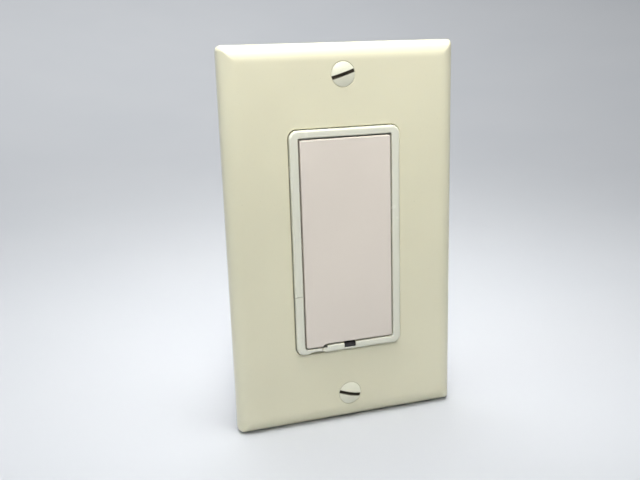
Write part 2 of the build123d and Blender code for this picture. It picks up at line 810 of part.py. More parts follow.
def make_housing():
    half_x = housing_width / 2
    shell = prism_y(rounded(housing_width, housing_height, housing_corner), 0, housing_depth)
    shell = fillet(front_edges(shell, housing_depth), 1.2)
    shell -= block(-inner_x, inner_x, -1, housing_depth - housing_wall, -inner_z, inner_z)
    for corner in all_corners(lambda sx, sz: rod_y(sx * boss_x, sz * boss_z, 0, housing_depth - 0.5,
                                                   housing_boss_radius)):
        shell += corner
    for sx, z in terminal_sites():
        shell += side_block(sx, block_inner_x, half_x - 0.2, block_front, housing_depth - 0.5,
                            z - block_height / 2, z + block_height / 2)
    # On the back: a shallow blank panel, and the groove that shows how much wire to strip.
    panel = prism_y(rounded(panel_width, panel_height, 1.5), housing_depth - panel_depth, housing_depth + 1)
    shell -= Pos(0, 0, panel_z) * panel
    shell -= block(-strip_length / 2, strip_length / 2, housing_depth - strip_depth, housing_depth + 1,
                   strip_z - strip_width / 2, strip_z + strip_width / 2)
    # Ledges that the circuit board rests on.
    for sx in (1, -1):
        shell += side_block(sx, inner_x - 1.6, inner_x + 0.2, board_back, board_back + 3, -3.5, 3.5)
    for sx, sz in ((1, 1), (1, -1), (-1, 1), (-1, -1)):
        shell -= rod_y(sx * boss_x, sz * boss_z, -1, housing_depth + 1, housing_screw_radius + 0.1)
        shell -= rod_y(sx * boss_x, sz * boss_z, housing_depth - counterbore_depth, housing_depth + 1,
                       housing_head_radius + counterbore_gap)
    for sx, z in terminal_sites():
        shell -= side_block(sx, plate_x, half_x + 1, block_front + pocket_wall, pocket_back,
                            z - pocket_half, z + pocket_half)
        shell -= rod_x(terminal_y(), z, min(sx * (block_inner_x - 1), sx * plate_x),
                       max(sx * (block_inner_x - 1), sx * plate_x), thread_radius + 0.15)
        shell -= side_block(sx, plate_x, plate_x + terminal_plate, block_front - 1,
                            block_front + pocket_wall + 0.1, z - 1.6, z + 1.6)
        shell -= rod_y(sx * wire_x(), z + wire_hole_offset, pocket_back - 1, housing_depth + 1,
                       wire_hole_radius)
    return shell


def make_housing_screws():
    screws = []
    seat = housing_depth - counterbore_depth
    top = seat + housing_head_height
    for sx, sz in ((1, 1), (1, -1), (-1, 1), (-1, -1)):
        x = sx * boss_x
        z = sz * boss_z
        head = rod_y(x, z, seat, top, housing_head_radius)
        head = fillet(front_edges(head, top), 0.6)
        for angle in (20, 110):
            head -= Pos(x, top, z) * Rot(0, angle, 0) * Box(recess_length, 2 * recess_depth, recess_width)
        screws.append(head + rod_y(x, z, yoke_front + 0.2, seat + overlap, housing_screw_radius))
    return Compound(screws)


def terminal_y():
    return (block_front + pocket_wall + pocket_back) / 2


def make_terminal_plates():
    plates = []
    for sx, z in terminal_sites():
        plate = side_block(sx, plate_x, plate_x + terminal_plate, block_front + pocket_wall + 0.1,
                           pocket_back - 0.1, z - pocket_half + 0.2, z + pocket_half - 0.2)
        plate += side_block(sx, plate_x, plate_x + terminal_plate, board_back, block_front + pocket_wall + 0.2,
                            z - 1.5, z + 1.5)
        plates.append(plate - rod_x(terminal_y(), z, -40, 40, thread_radius + thread_clearance))
    return Compound(plates)


def make_terminal_clamps():
    clamps = []
    for sx, z in terminal_sites():
        clamp = side_block(sx, clamp_x(), clamp_x() + terminal_clamp, block_front + pocket_wall + 1.0,
                           pocket_back - 1.0, z - 4.9, z + 4.9)
        clamps.append(clamp - rod_x(terminal_y(), z, -40, 40, thread_radius + 0.2))
    return Compound(clamps)


def make_terminal_screws():
    screws = []
    for sx, z in terminal_sites():
        under = clamp_x() + terminal_clamp
        tip = under - terminal_screw_length
        y = terminal_y()
        head = rod_x(y, z, min(sx * under, sx * (under + terminal_head_height)),
                     max(sx * under, sx * (under + terminal_head_height)), terminal_head_radius)
        shank = rod_x(y, z, min(sx * tip, sx * under), max(sx * tip, sx * under), thread_radius)
        top = sx * (under + terminal_head_height)
        slot = Pos(top, y, z) * Rot(25, 0, 0) * Box(1.6, 9, slot_width)
        screws.append(head + shank - slot)
    return Compound(screws)


# ---------------------------------------------------------------- board and components
def make_insulating_sheet():
    """Card between the live parts and the yoke, cut around what passes through it."""
    half_x = inner_x - sheet_gap
    half_z = inner_z - sheet_gap
    sheet = block(-half_x, half_x, sheet_front, sheet_back, -half_z, half_z)
    sheet -= paddle_posts_windows(-1, 2)
    sheet -= blade_window(-1, 2)
    sheet -= pipe_window(-1, 2)
    for sx, sz in ((1, 1), (1, -1), (-1, 1), (-1, -1)):
        x0, x1, z0, z1 = snap_leg(sx, sz, 0.9)
        sheet -= block(x0, x1, -1, 2, z0, z1)
        sheet -= rod_y(sx * boss_x, sz * boss_z, -1, 2, housing_boss_radius + 0.3)
    cut_half = triac_half + 1.0
    sheet -= block(triac_x - cut_half, triac_x + cut_half, -1, 2, triac_z - triac_length / 2 - 1.0,
                   triac_z + triac_length / 2 + 1.5)
    return sheet


def make_circuit_board():
    half_x = inner_x - board_gap
    half_z = inner_z - board_gap
    board = block(-half_x, half_x, board_front, board_back, -half_z, half_z)
    for sx in (1, -1):
        for sz in (1, -1):
            x = sx * half_x
            z = sz * half_z
            board -= Pos(x, board_front, z) * Box(2 * board_notch, 10, 2 * board_notch)
    return board


def make_switch_bases():
    bases = []
    for s in (1, -1):
        z = s * post_z
        half = switch_size / 2
        base = block(-half, half, board_front - switch_height, board_front, z - half, z + half)
        bases.append(chamfer(front_edges(base, board_front - switch_height), 0.4))
    return Compound(bases)


def dome_tip():
    return board_front - switch_height - dome_height


def make_key_domes():
    """Soft rubber domes that the paddle's posts press."""
    domes = []
    for s in (1, -1):
        z = s * post_z
        base = board_front - switch_height
        domes.append(Pos(0, (dome_tip() + base) / 2, z) * Rot(90, 0, 0)
                     * Cone(dome_radius, dome_radius * 0.6, dome_height))
    return Compound(domes)


def make_triac():
    """Three-legged power switch, its tab riveted flat to the yoke."""
    low = triac_z - triac_length / 2
    x0 = triac_x - triac_half
    x1 = triac_x + triac_half
    part = block(x0, x1, triac_tab_front, triac_tab_back, low, triac_z + triac_length / 2)
    part += block(x0, x1, triac_tab_front, triac_back, low, triac_z + triac_body_top)
    part -= rod_y(triac_x, triac_z + triac_hole_rise, -1, 6, rivet_radius + 0.1)
    lead_back = lead_front + lead_thickness
    bend = low - lead_length + lead_thickness
    for dx in (-lead_pitch, 0, lead_pitch):
        x = triac_x + dx
        part += block(x - lead_half, x + lead_half, lead_front, lead_back, bend, low + overlap)
        part += block(x - lead_half, x + lead_half, lead_front, board_front, low - lead_length, bend)
    return part


def make_triac_pad():
    half_x = triac_half + pad_margin
    half_z = triac_length / 2 + pad_margin
    pad = block(triac_x - half_x, triac_x + half_x, sheet_front, pad_back, triac_z - half_z, triac_z + half_z)
    return pad - rod_y(triac_x, triac_z + triac_hole_rise, -1, 6, rivet_radius + 0.1)


def make_triac_rivet():
    z = triac_z + triac_hole_rise
    rivet = rod_y(triac_x, z, yoke_front + 0.1, triac_tab_back + 0.05, rivet_radius)
    return rivet + rod_y(triac_x, z, triac_tab_back + 0.02, rivet_back, rivet_head_radius)


def make_choke_core():
    ring = rod_y(0, choke_z, choke_y - choke_height / 2, choke_y + choke_height / 2, choke_outer)
    ring -= rod_y(0, choke_z, 0, 40, choke_inner)
    return ring


def make_choke_winding():
    """Turns of enamelled wire in two banks, closed round the core."""
    grow = winding_thickness + winding_gap
    y0 = choke_y - choke_height / 2
    y1 = choke_y + choke_height / 2
    outer = rod_y(0, choke_z, y0 - grow, y1 + grow, choke_outer + grow)
    outer -= rod_y(0, choke_z, 0, 40, choke_inner - grow)
    core = rod_y(0, choke_z, y0 - winding_gap, y1 + winding_gap, choke_outer + winding_gap)
    core -= rod_y(0, choke_z, 0, 40, choke_inner - winding_gap)
    banks = outer - core
    gap = block(-1.6, 1.6, 0, 40, choke_z - 20, choke_z + 20)
    return Compound((banks - gap).solids())


def make_film_capacitor():
    top = board_back + film_height
    body = block(-film_half_x, film_half_x, board_back, top, film_low, film_high)
    return fillet(front_edges(body, top), 1.0)


def make_supply_capacitor():
    top = board_back + can_height
    return fillet(front_edges(rod_y(can_x, can_z, board_back, top, can_radius), top), 0.6)


def make_varistor():
    disc = rod_x(board_back + varistor_rise, varistor_z, varistor_x0, varistor_x1, varistor_radius)
    middle = (varistor_x0 + varistor_x1) / 2
    for side in (-1, 1):
        z = varistor_z + side * varistor_lead_spread
        disc += block(middle - varistor_lead_half, middle + varistor_lead_half, board_back, board_back + 3,
                      z - varistor_lead_half, z + varistor_lead_half)
    return disc


def make_fuse():
    y = board_back + fuse_rise
    body = rod_x(y, fuse_z, fuse_x0, fuse_x1, fuse_radius)
    body += rod_x(y, fuse_z, fuse_x0 - fuse_lead_reach, fuse_x1 + fuse_lead_reach, fuse_lead_radius)
    for x in (fuse_x0 - 0.6, fuse_x1 + 0.6):
        body += block(x - 0.3, x + 0.3, board_back, y, fuse_z - 0.3, fuse_z + 0.3)
    return body


def make_microcontroller():
    chip = block(chip_x0, chip_x1, board_front - chip_height, board_front, chip_z0, chip_z1)
    for i in range(5):
        z = chip_z0 + 1.0 + i * chip_leg_pitch
        chip += block(chip_x0 - chip_leg_reach, chip_x1 + chip_leg_reach, board_front - chip_leg_thickness,
                      board_front, z - chip_leg_half, z + chip_leg_half)
    return chip


def make_opto_coupler():
    body = block(opto_x0, opto_x1, board_front - opto_height, board_front - opto_lift, opto_z0, opto_z1)
    for i in range(3):
        z = opto_z0 + 1.0 + i * opto_leg_pitch
        body += block(opto_x0 - opto_leg_reach, opto_x1 + opto_leg_reach, board_front - opto_leg_height,
                      board_front, z - opto_leg_half, z + opto_leg_half)
    return body


def make_resistors():
    half = resistor_width / 2
    middles = [resistor_x + i * resistor_pitch for i in range(4)]
    return Compound([block(x - half, x + half, board_front - resistor_height, board_front,
                           resistor_z0, resistor_z1) for x in middles])


# ---------------------------------------------------------------- write every node
NODES = {
    "wallplate": make_wallplate,
    "wallplate_screws": make_wallplate_screws,
    "bezel_frame": make_bezel_frame,
    "paddle": make_paddle,
    "paddle_pivot_rod": make_pivot_rod,
    "paddle_return_spring": make_return_spring,
    "indicator_window": make_indicator_window,
    "light_pipe": make_light_pipe,
    "indicator_led": make_indicator_led,
    "service_lever": make_service_lever,
    "lever_pivot_pin": make_lever_pin,
    "lever_contact_tip": make_lever_tip,
    "air_gap_leaf": make_air_gap_leaf,
    "air_gap_contact": make_air_gap_contact,
    "heat_sink_yoke": make_yoke,
    "box_screws": make_box_screws,
    "screw_retainers": make_screw_retainers,
    "ground_screw": make_ground_screw,
    "rear_housing": make_housing,
    "housing_screws": make_housing_screws,
    "terminal_plates": make_terminal_plates,
    "terminal_clamps": make_terminal_clamps,
    "terminal_screws": make_terminal_screws,
    "insulating_sheet": make_insulating_sheet,
    "circuit_board": make_circuit_board,
    "key_switch_bases": make_switch_bases,
    "key_domes": make_key_domes,
    "triac": make_triac,
    "triac_pad": make_triac_pad,
    "triac_rivet": make_triac_rivet,
    "choke_core": make_choke_core,
    "choke_winding": make_choke_winding,
    "film_capacitor": make_film_capacitor,
    "supply_capacitor": make_supply_capacitor,
    "varistor": make_varistor,
    "fuse": make_fuse,
    "microcontroller": make_microcontroller,
    "opto_coupler": make_opto_coupler,
    "resistors": make_resistors,
}

os.makedirs("parts", exist_ok=True)
for name, make in NODES.items():
    export_step(make(), f"parts/{name}.step")
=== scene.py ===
# %% [markdown]
# # A wall dimmer, finished for a studio picture
# The sizes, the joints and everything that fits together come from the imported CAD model.
# This lesson adds what a catalogue picture needs: moulded shapes with soft edges, real
# screw threads, and a material with grain and wear for every part. We load the model
# first, because each piece that follows takes its place and size from it.

# %% Load the frame
import json
import math

import bmesh
import bpy
from mathutils import Matrix, Quaternion, Vector

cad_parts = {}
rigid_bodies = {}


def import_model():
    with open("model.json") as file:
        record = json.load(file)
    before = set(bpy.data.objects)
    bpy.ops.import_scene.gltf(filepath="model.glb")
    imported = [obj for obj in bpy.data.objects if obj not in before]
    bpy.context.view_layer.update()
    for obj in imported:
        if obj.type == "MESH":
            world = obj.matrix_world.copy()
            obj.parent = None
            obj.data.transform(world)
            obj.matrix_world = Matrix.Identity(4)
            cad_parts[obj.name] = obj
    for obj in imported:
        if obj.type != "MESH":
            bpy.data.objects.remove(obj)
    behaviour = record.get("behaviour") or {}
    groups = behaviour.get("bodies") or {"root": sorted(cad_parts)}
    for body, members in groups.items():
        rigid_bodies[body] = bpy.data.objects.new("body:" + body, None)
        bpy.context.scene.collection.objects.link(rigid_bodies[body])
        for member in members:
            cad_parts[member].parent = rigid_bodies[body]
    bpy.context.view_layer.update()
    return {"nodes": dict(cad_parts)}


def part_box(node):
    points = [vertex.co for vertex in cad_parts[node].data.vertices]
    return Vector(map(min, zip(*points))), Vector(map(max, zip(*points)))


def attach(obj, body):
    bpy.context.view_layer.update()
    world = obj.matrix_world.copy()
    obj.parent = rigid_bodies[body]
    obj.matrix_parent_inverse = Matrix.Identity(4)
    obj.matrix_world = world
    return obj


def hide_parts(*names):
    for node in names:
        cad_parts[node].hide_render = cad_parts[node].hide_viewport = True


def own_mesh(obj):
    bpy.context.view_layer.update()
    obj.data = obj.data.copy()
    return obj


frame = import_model()
nodes = frame["nodes"]

# %% [markdown]
# ## Measures
# A dimmer is designed in millimetres and Blender works in metres, so one constant turns
# the first into the second. The main boxes are read once, and later cells use their
# corners in place of typed numbers.

# %% Measures taken from the frame
MM = 0.001

plate_low, plate_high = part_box("wallplate")
bezel_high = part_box("bezel_frame")[1]
screw_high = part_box("wallplate_screws")[1]
plate_half_x = plate_high.x
plate_half_z = plate_high.z
plate_front = plate_low.y
screw_head_radius = screw_high.x
plate_screw_z = screw_high.z - screw_head_radius
print(f"plate {2 * plate_half_x / MM:.2f} by {2 * plate_half_z / MM:.2f} mm")

# %% [markdown]
# ## Camera
# The dimmer stands on the table and is seen from a little to its left and from above,
# as a person holding it would. An azimuth, an elevation, a distance and a
# slight roll describe that hand better than a matrix does.

# %% Camera
aim = Vector((-8.4, -6.0, 1.5)) * MM
view_azimuth = math.radians(17.06)
view_elevation = math.radians(14.16)
view_roll = math.radians(-1.76)
view_distance = 223 * MM

towards_camera = Vector((
    -math.sin(view_azimuth) * math.cos(view_elevation),
    -math.cos(view_azimuth) * math.cos(view_elevation),
    math.sin(view_elevation),
))
camera_data = bpy.data.cameras.new("camera")
camera_data.lens = 43.1
camera_data.sensor_width = 36.0
camera_data.clip_start = 1 * MM
camera = bpy.data.objects.new("camera", camera_data)
camera.location = aim + towards_camera * view_distance
camera.rotation_mode = "QUATERNION"
upright = (-towards_camera).to_track_quat("-Z", "Y")
camera.rotation_quaternion = upright @ Quaternion((0, 0, 1), view_roll)
bpy.context.scene.collection.objects.link(camera)
bpy.context.scene.camera = camera
print("camera at", tuple(round(v / MM, 1) for v in camera.location), "mm")

# %% [markdown]
# ## A small language for node trees
# Shader sums are easier to read as sums. `Field` wraps one output socket, and adding or
# multiplying two of them adds the Math node. `Nodes.node` makes any other node: its
# settings first, because they decide which sockets it has, then a value or a link for
# each socket. Geometry trees use the same Math nodes, so both kinds share these classes.

# %% Field and Nodes
class Field:
    """A changing value: one output socket of a node tree, with arithmetic."""

    def __init__(self, nodes_of, socket):
        self.nodes_of = nodes_of
        self.socket = socket

    def math(self, operation, first, second=0.0):
        return self.nodes_of.node("ShaderNodeMath", {"operation": operation}, {0: first, 1: second})

    def __add__(self, other):
        return self.math("ADD", self, other)

    def __sub__(self, other):
        return self.math("SUBTRACT", self, other)

    def __rsub__(self, other):
        return self.math("SUBTRACT", other, self)

    def __mul__(self, other):
        return self.math("MULTIPLY", self, other)

    def __pow__(self, other):
        return self.math("POWER", self, other)

    def __abs__(self):
        return self.math("ABSOLUTE", self)

    __radd__ = __add__
    __rmul__ = __mul__


class Nodes:
    """A node tree that is written in expressions."""

    def __init__(self, tree):
        self.tree = tree

    def node(self, kind, settings=None, inputs=None, output=0):
        made = self.tree.nodes.new(kind)
        for key, value in (settings or {}).items():
            setattr(made, key, value)
        for key, value in (inputs or {}).items():
            self.feed(made.inputs[key], value)
        return Field(self, made.outputs[output])

    def feed(self, socket, value):
        if isinstance(value, Field):
            self.tree.links.new(value.socket, socket)
        else:
            socket.default_value = value


# %% [markdown]
# ## Finishes
# A finish is a material with the habits that real surfaces share: a colour that drifts a
# little, a grain that only shows as bump, and edges that hands have polished. `Finish`
# gives each recipe the same few words for these. Patterns read Object coordinates in
# metres, so a scale of 1000 means a pattern about a millimetre across.

# %% Finish
def srgb(red, green, blue):
    """A colour as a paint chart gives it, 0 to 255, turned to the linear values of light."""
    chart = (red, green, blue)
    return tuple(((v / 255 + 0.055) / 1.055) ** 2.4 if v > 10 else v / 3294.6 for v in chart) + (1.0,)


class Finish(Nodes):
    """A material, with short words for the patterns that surfaces are made of."""

    def __init__(self, name, colour, **fixed):
        self.material = bpy.data.materials.new(name)
        self.material.use_nodes = True
        super().__init__(self.material.node_tree)
        self.surface = self.tree.nodes["Principled BSDF"]
        self.place = self.node("ShaderNodeTexCoord", output="Object")
        self.set(Base_Color=colour, **fixed)

    def set(self, **values):
        for name, value in values.items():
            self.feed(self.surface.inputs[name.replace("_", " ")], value)

    def stretched(self, stretch):
        return self.node("ShaderNodeVectorMath", {"operation": "MULTIPLY"}, {0: self.place, 1: stretch})

    def noise(self, scale, detail=3.0, stretch=(1, 1, 1)):
        return self.node("ShaderNodeTexNoise", None,
                         {"Vector": self.stretched(stretch), "Scale": scale, "Detail": detail})

    def axis(self, name):
        return self.node("ShaderNodeSeparateXYZ", None, {0: self.place}, name)

    def step(self, value, low, high):
        return self.node("ShaderNodeMapRange", {"interpolation_type": "SMOOTHSTEP"},
                         {"Value": value, "From Min": low, "From Max": high})

    def mix(self, factor, first, second):
        return self.node("ShaderNodeMix", {"data_type": "RGBA"}, {0: factor, 6: first, 7: second}, 2)

    def bump(self, height, depth):
        return self.node("ShaderNodeBump", None, {"Height": height, "Distance": depth, "Strength": 1.0})


def shade(colour, factor):
    """The same colour, lighter or darker."""
    return tuple(v * factor for v in colour[:3]) + (1.0,)

# %% [markdown]
# ## Studio
# The dimmer stands on a plain sweep: a floor that curves up into the background,
# so no horizon shows. The curve starts just behind the product and never gets tight, so
# its shade changes too slowly to be seen. A hooded lamp high in front gives the
# bright roll along the plate's top edge, and weak ones keep the shadows open.

# %% Lathe, spun and show
def placed(name, data):
    """A new object at the origin of the scene."""
    made = bpy.data.objects.new(name, data)
    bpy.context.scene.collection.objects.link(made)
    return made


def solid(name, mesh):
    """A new mesh from a bmesh, which is freed."""
    made = bpy.data.meshes.new(name)
    mesh.to_mesh(made)
    mesh.free()
    return made


def smoothed(mesh, sharp):
    """Shades a mesh smooth, except where it turns by more than the angle in degrees."""
    for polygon in mesh.polygons:
        polygon.use_smooth = True
    mesh.set_sharp_from_angle(angle=math.radians(sharp))


def lathe(name, profile, steps, turn_axis="Z"):
    """A profile of (radius, height) points, spun once. With "Y", height points to the front."""
    mesh = bmesh.new()
    rings = []
    for step in range(steps):
        angle = 2 * math.pi * step / steps
        ring = [mesh.verts.new((r * math.cos(angle), r * math.sin(angle), h)) for r, h in profile]
        rings.append(ring)
    for here, there in zip(rings, rings[1:] + rings[:1]):
        for low in range(len(profile) - 1):
            mesh.faces.new((here[low], there[low], there[low + 1], here[low + 1]))
    bmesh.ops.remove_doubles(mesh, verts=mesh.verts, dist=1e-7)
    bmesh.ops.recalc_face_normals(mesh, faces=mesh.faces)
    if turn_axis == "Y":
        bmesh.ops.transform(mesh, matrix=Matrix.Rotation(math.radians(90), 4, "X"), verts=mesh.verts)
    return solid(name, mesh)


def spun(name, profile, steps, place=(0, 0, 0)):
    """A lathe round Y with its profile in millimetres, moved to a place in metres."""
    made = lathe(name, [(r * MM, h * MM) for r, h in profile], steps, "Y")
    made.transform(Matrix.Translation(place))
    return made


def show(name, mesh, material, sharp=35.0):
    """Puts a mesh in the scene as an object at the origin, smooth except at sharp edges."""
    smoothed(mesh, sharp)
    shown = placed(name, mesh)
    mesh.materials.clear()
    mesh.materials.append(material)
    return shown


# %% Floor
flat_radius = 0.20
sweep_radius = 2.2
sweep = [(flat_radius + sweep_radius * math.sin(a), sweep_radius * (1 - math.cos(a)))
         for a in (math.radians(d * 0.9) for d in range(0, 101))]
floor_mesh = lathe("floor", [(0.0, 0.0), (0.1, 0.0)] + sweep, 96)
floor_mesh.transform(Matrix.Translation((0, 0, plate_low.z)))
floor_mesh.flip_normals()
floor_finish = Finish("studio_paper", srgb(186, 189, 193), Roughness=0.85)
floor_tone = floor_finish.noise(9.0)
floor_finish.set(Base_Color=floor_finish.mix(floor_tone, srgb(183, 186, 190), srgb(189, 191, 194)))
floor_finish.set(Normal=floor_finish.bump(floor_finish.noise(1800.0), 0.02 * MM))
floor = show("floor", floor_mesh, floor_finish.material)
print("floor at", round(plate_low.z / MM, 2), "mm")

# %% Lamps
def lamp(name, place, size, power, target=(0, 0, 0), colour=(1, 1, 1), spread=180):
    """A square soft lamp, aimed at a point. A small spread, in degrees, acts like a hood."""
    data = bpy.data.lights.new(name, "AREA")
    data.size = size
    data.energy = power
    data.color = colour
    data.spread = math.radians(spread)
    made = placed(name, data)
    made.location = place
    made.rotation_mode = "QUATERNION"
    made.rotation_quaternion = (Vector(target) - Vector(place)).to_track_quat("-Z", "Y")


lamp("key_lamp", (-0.10, -0.32, 0.38), 0.14, 0.145, target=(0, 0, 0.10), colour=(1.0, 0.985, 0.95),
     spread=44)
lamp("top_lamp", (0.00, -0.07, 0.46), 0.16, 0.34, target=(0, 0.01, 0.05), spread=70)
lamp("right_lamp", (0.75, -0.35, 0.35), 0.5, 0.7, colour=(0.93, 0.96, 1.0))
lamp("left_lamp", (-0.70, -0.05, 0.35), 0.5, 1.25, colour=(0.86, 0.93, 1.0))
lamp("back_lamp", (0.0, 0.62, 1.25), 0.9, 9.5, target=(0, 0.75, 0), spread=130)
world = bpy.data.worlds.new("studio")
world.use_nodes = True
world.node_tree.nodes["Background"].inputs["Color"].default_value = (0.80, 0.83, 0.87, 1.0)
world.node_tree.nodes["Background"].inputs["Strength"].default_value = 0.22
bpy.context.scene.world = world
bpy.context.scene.view_settings.view_transform = "Standard"

# %% [markdown]
# ## Recipes that repeat
# Threads, windings and rows of screws follow rules, so Geometry Nodes make them. A
# `Recipe` is one such tree with named inputs. It always ends by making its copies real
# and giving them their finish, and `make` hands back a plain mesh.

# %% Recipe
def drop(scene_object):
    """Removes a helper object, and its mesh if nothing else uses it."""
    mesh = scene_object.data
    bpy.data.objects.remove(scene_object)
    if mesh is not None and mesh.users == 0:
        bpy.data.meshes.remove(mesh)


def baked(scene_object):
    """The object's mesh with its modifiers applied."""
    bpy.context.view_layer.update()
    graph = bpy.context.evaluated_depsgraph_get()
    mesh = bpy.data.meshes.new_from_object(scene_object.evaluated_get(graph))
    scene_object.modifiers.clear()
    return mesh


class Recipe(Nodes):
    """A geometry tree with named inputs, for shapes that follow a rule."""

    def __init__(self, name, **kinds):
        super().__init__(bpy.data.node_groups.new(name, "GeometryNodeTree"))
        faces = self.tree.interface
        faces.new_socket("Geometry", in_out="INPUT", socket_type="NodeSocketGeometry")
        faces.new_socket("Material", in_out="INPUT", socket_type="NodeSocketMaterial")
        for label, kind in kinds.items():
            faces.new_socket(label, in_out="INPUT", socket_type=f"NodeSocket{kind}")
        faces.new_socket("Geometry", in_out="OUTPUT", socket_type="NodeSocketGeometry")
        self.start = self.tree.nodes.new("NodeGroupInput")

    def given(self, label):
        return Field(self, self.start.outputs[label])

    def end(self, geometry):
        real = self.node("GeometryNodeRealizeInstances", None, {0: geometry})
        painted = self.node("GeometryNodeSetMaterial", None,
                            {"Geometry": real, "Material": self.given("Material")})
        finish = self.tree.nodes.new("NodeGroupOutput")
        self.tree.links.new(painted.socket, finish.inputs[0])

    def make(self, name, material=None, points=None, **values):
        """Runs the recipe on a set of points, or on nothing, and returns its mesh."""
        host = placed(name, points or bpy.data.meshes.new(name))
        modifier = host.modifiers.new(name, "NODES")
        modifier.node_group = self.tree
        values["Material"] = material
        for item in self.tree.interface.items_tree:
            if item.item_type == "SOCKET" and item.in_out == "INPUT" and item.name in values:
                modifier[item.identifier] = values[item.name]
        mesh = baked(host)
        drop(host)
        return mesh


# %% [markdown]
# ## Mesh helpers
# A few tools carry most of the modelling: a loft through loops of points, a cut of one
# closed mesh out of another, soft edges, a prism, and a join of several meshes.

# %% Middle, loft, carve and join
def middle_of(cad_node):
    """The low corner, the high corner and the centre of a CAD node's box."""
    low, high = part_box(cad_node)
    return low, high, (low + high) / 2


def rounded_loop(half_x, half_z, radius, y, per_corner=8):
    """Points round a rectangle with round corners, in the plane at this Y."""
    points = []
    for side_x, side_z, start in ((1, 1, 0), (-1, 1, 90), (-1, -1, 180), (1, -1, 270)):
        for step in range(per_corner + 1):
            angle = math.radians(start + 90 * step / per_corner)
            points.append(Vector((side_x * (half_x - radius) + radius * math.cos(angle), y,
                                  side_z * (half_z - radius) + radius * math.sin(angle))))
    return points


def loft(name, loops, closed=False):
    """A skin through loops that have the same number of points."""
    mesh = bmesh.new()
    rings = [[mesh.verts.new(point) for point in loop] for loop in loops]
    if closed:
        rings.append(rings[0])
    for here, there in zip(rings, rings[1:]):
        for index, vertex in enumerate(here):
            after = (index + 1) % len(here)
            mesh.faces.new((vertex, here[after], there[after], there[index]))
    if not closed:
        mesh.faces.new(rings[0])
        mesh.faces.new(rings[-1])
    bmesh.ops.recalc_face_normals(mesh, faces=mesh.faces)
    return solid(name, mesh)


def modified(mesh, kind, **settings):
    """The mesh after one modifier."""
    body = placed("body", mesh)
    modifier = body.modifiers.new(kind, kind)
    for key, value in settings.items():
        setattr(modifier, key, value)
    result = baked(body)
    drop(body)
    return result


def carve(mesh, cutter):
    """Cuts one closed mesh out of another."""
    tool = placed("tool", cutter)
    result = modified(mesh, "BOOLEAN", operation="DIFFERENCE", solver="EXACT", object=tool)
    drop(tool)
    return result


def softened(mesh, width, segments=2, angle=30):
    """Rounds every edge that turns by more than the angle."""
    return modified(mesh, "BEVEL", width=width, segments=segments, limit_method="ANGLE",
                    angle_limit=math.radians(angle), use_clamp_overlap=True)


def block(low, high):
    """A closed box between two corners."""
    mesh = bmesh.new()
    size = Vector(high) - Vector(low)
    place = Matrix.Translation((Vector(low) + Vector(high)) / 2) @ Matrix.Diagonal((*size, 1.0))
    bmesh.ops.create_cube(mesh, size=1.0, matrix=place)
    return solid("block", mesh)


def prism(outline, low_z, high_z):
    """A closed solid with an outline of (x, y) points, between two heights."""
    mesh = bmesh.new()
    near = [mesh.verts.new((x, y, low_z)) for x, y in outline]
    far = [mesh.verts.new((x, y, high_z)) for x, y in outline]
    mesh.faces.new(near)
    mesh.faces.new(far[::-1])
    for i in range(len(near)):
        after = (i + 1) % len(near)
        mesh.faces.new((near[i], far[i], far[after], near[after]))
    bmesh.ops.recalc_face_normals(mesh, faces=mesh.faces)
    return solid("prism", mesh)


def joined(name, meshes):
    """Several meshes as one."""
    together = bmesh.new()
    for mesh in meshes:
        together.from_mesh(mesh)
    made = solid(name, together)
    for mesh in meshes:
        if mesh.users == 0:
            bpy.data.meshes.remove(mesh)
    return made


def evened(mesh, sharp):
    """Gives flat faces the say over their corners, so a large face stays flat to its edge."""
    smoothed(mesh, sharp)
    return modified(mesh, "WEIGHTED_NORMAL", keep_sharp=True, weight=100)


def piece(name, mesh, finish, body, slot, *cad_nodes, sharp=35.0):
    """Shows a finished piece, ties it to its body and lets it stand for its CAD nodes."""
    shown = show(name, evened(mesh, sharp), finish.material, sharp)
    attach(shown, body)
    if cad_nodes:
        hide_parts(*cad_nodes)
    print(f"{name}: {len(shown.data.polygons)} faces")
    return shown

# %% [markdown]
# ## Moulded plastics
# The plate, the bezel and the paddle are three mouldings from three moulds. The plate is
# polished ivory, with the faint waviness of a large flat moulding. The bezel is paler
# and a little glossier. The paddle has a spark-eroded grain, which makes it matt and
# hides fingerprints. One recipe covers all three, with grain and gloss as its inputs.

# %% Moulded plastics
def moulded(name, colour, gloss, grain, wave, scatter=0.0, fleck=0.0):
    """Plastic from a steel mould. Grain and wave are heights in metres, gloss a roughness."""
    finish = Finish(name, colour, Roughness=gloss, IOR=1.5)
    if scatter:
        finish.set(Subsurface_Weight=scatter, Subsurface_Scale=0.8 * MM, Subsurface_Radius=(1.0, 0.8, 0.5))
    drift = finish.noise(26.0, 2.0)
    cloud = finish.noise(240.0, 4.0)
    tint = finish.mix(finish.step(drift, 0.35, 0.65), shade(colour, 0.975), shade(colour, 1.02))
    tint = finish.mix(cloud * 0.16, tint, shade(colour, 0.93))
    if fleck:
        speck = finish.step(finish.noise(2600.0, 1.0), 0.74, 0.80) * fleck
        tint = finish.mix(speck, tint, shade(colour, 0.55))
    finish.set(Base_Color=tint)
    # Handling leaves hairline scratches and slightly duller smears.
    scratch = finish.step(finish.noise(150.0, 2.0, (1.0, 1.0, 26.0)), 0.70, 0.76)
    cross = finish.step(finish.noise(120.0, 2.0, (30.0, 1.0, 1.5)), 0.72, 0.78)
    smear = finish.step(finish.noise(60.0, 3.0), 0.40, 0.70)
    finish.set(Roughness=gloss + smear * 0.07 + (scratch + cross) * 0.05)
    height = finish.noise(3300.0, 2.0) * grain + finish.noise(75.0, 2.0) * wave
    height = height - (scratch + cross) * 0.12e-6
    finish.set(Normal=finish.bump(height, 1.0))
    return finish


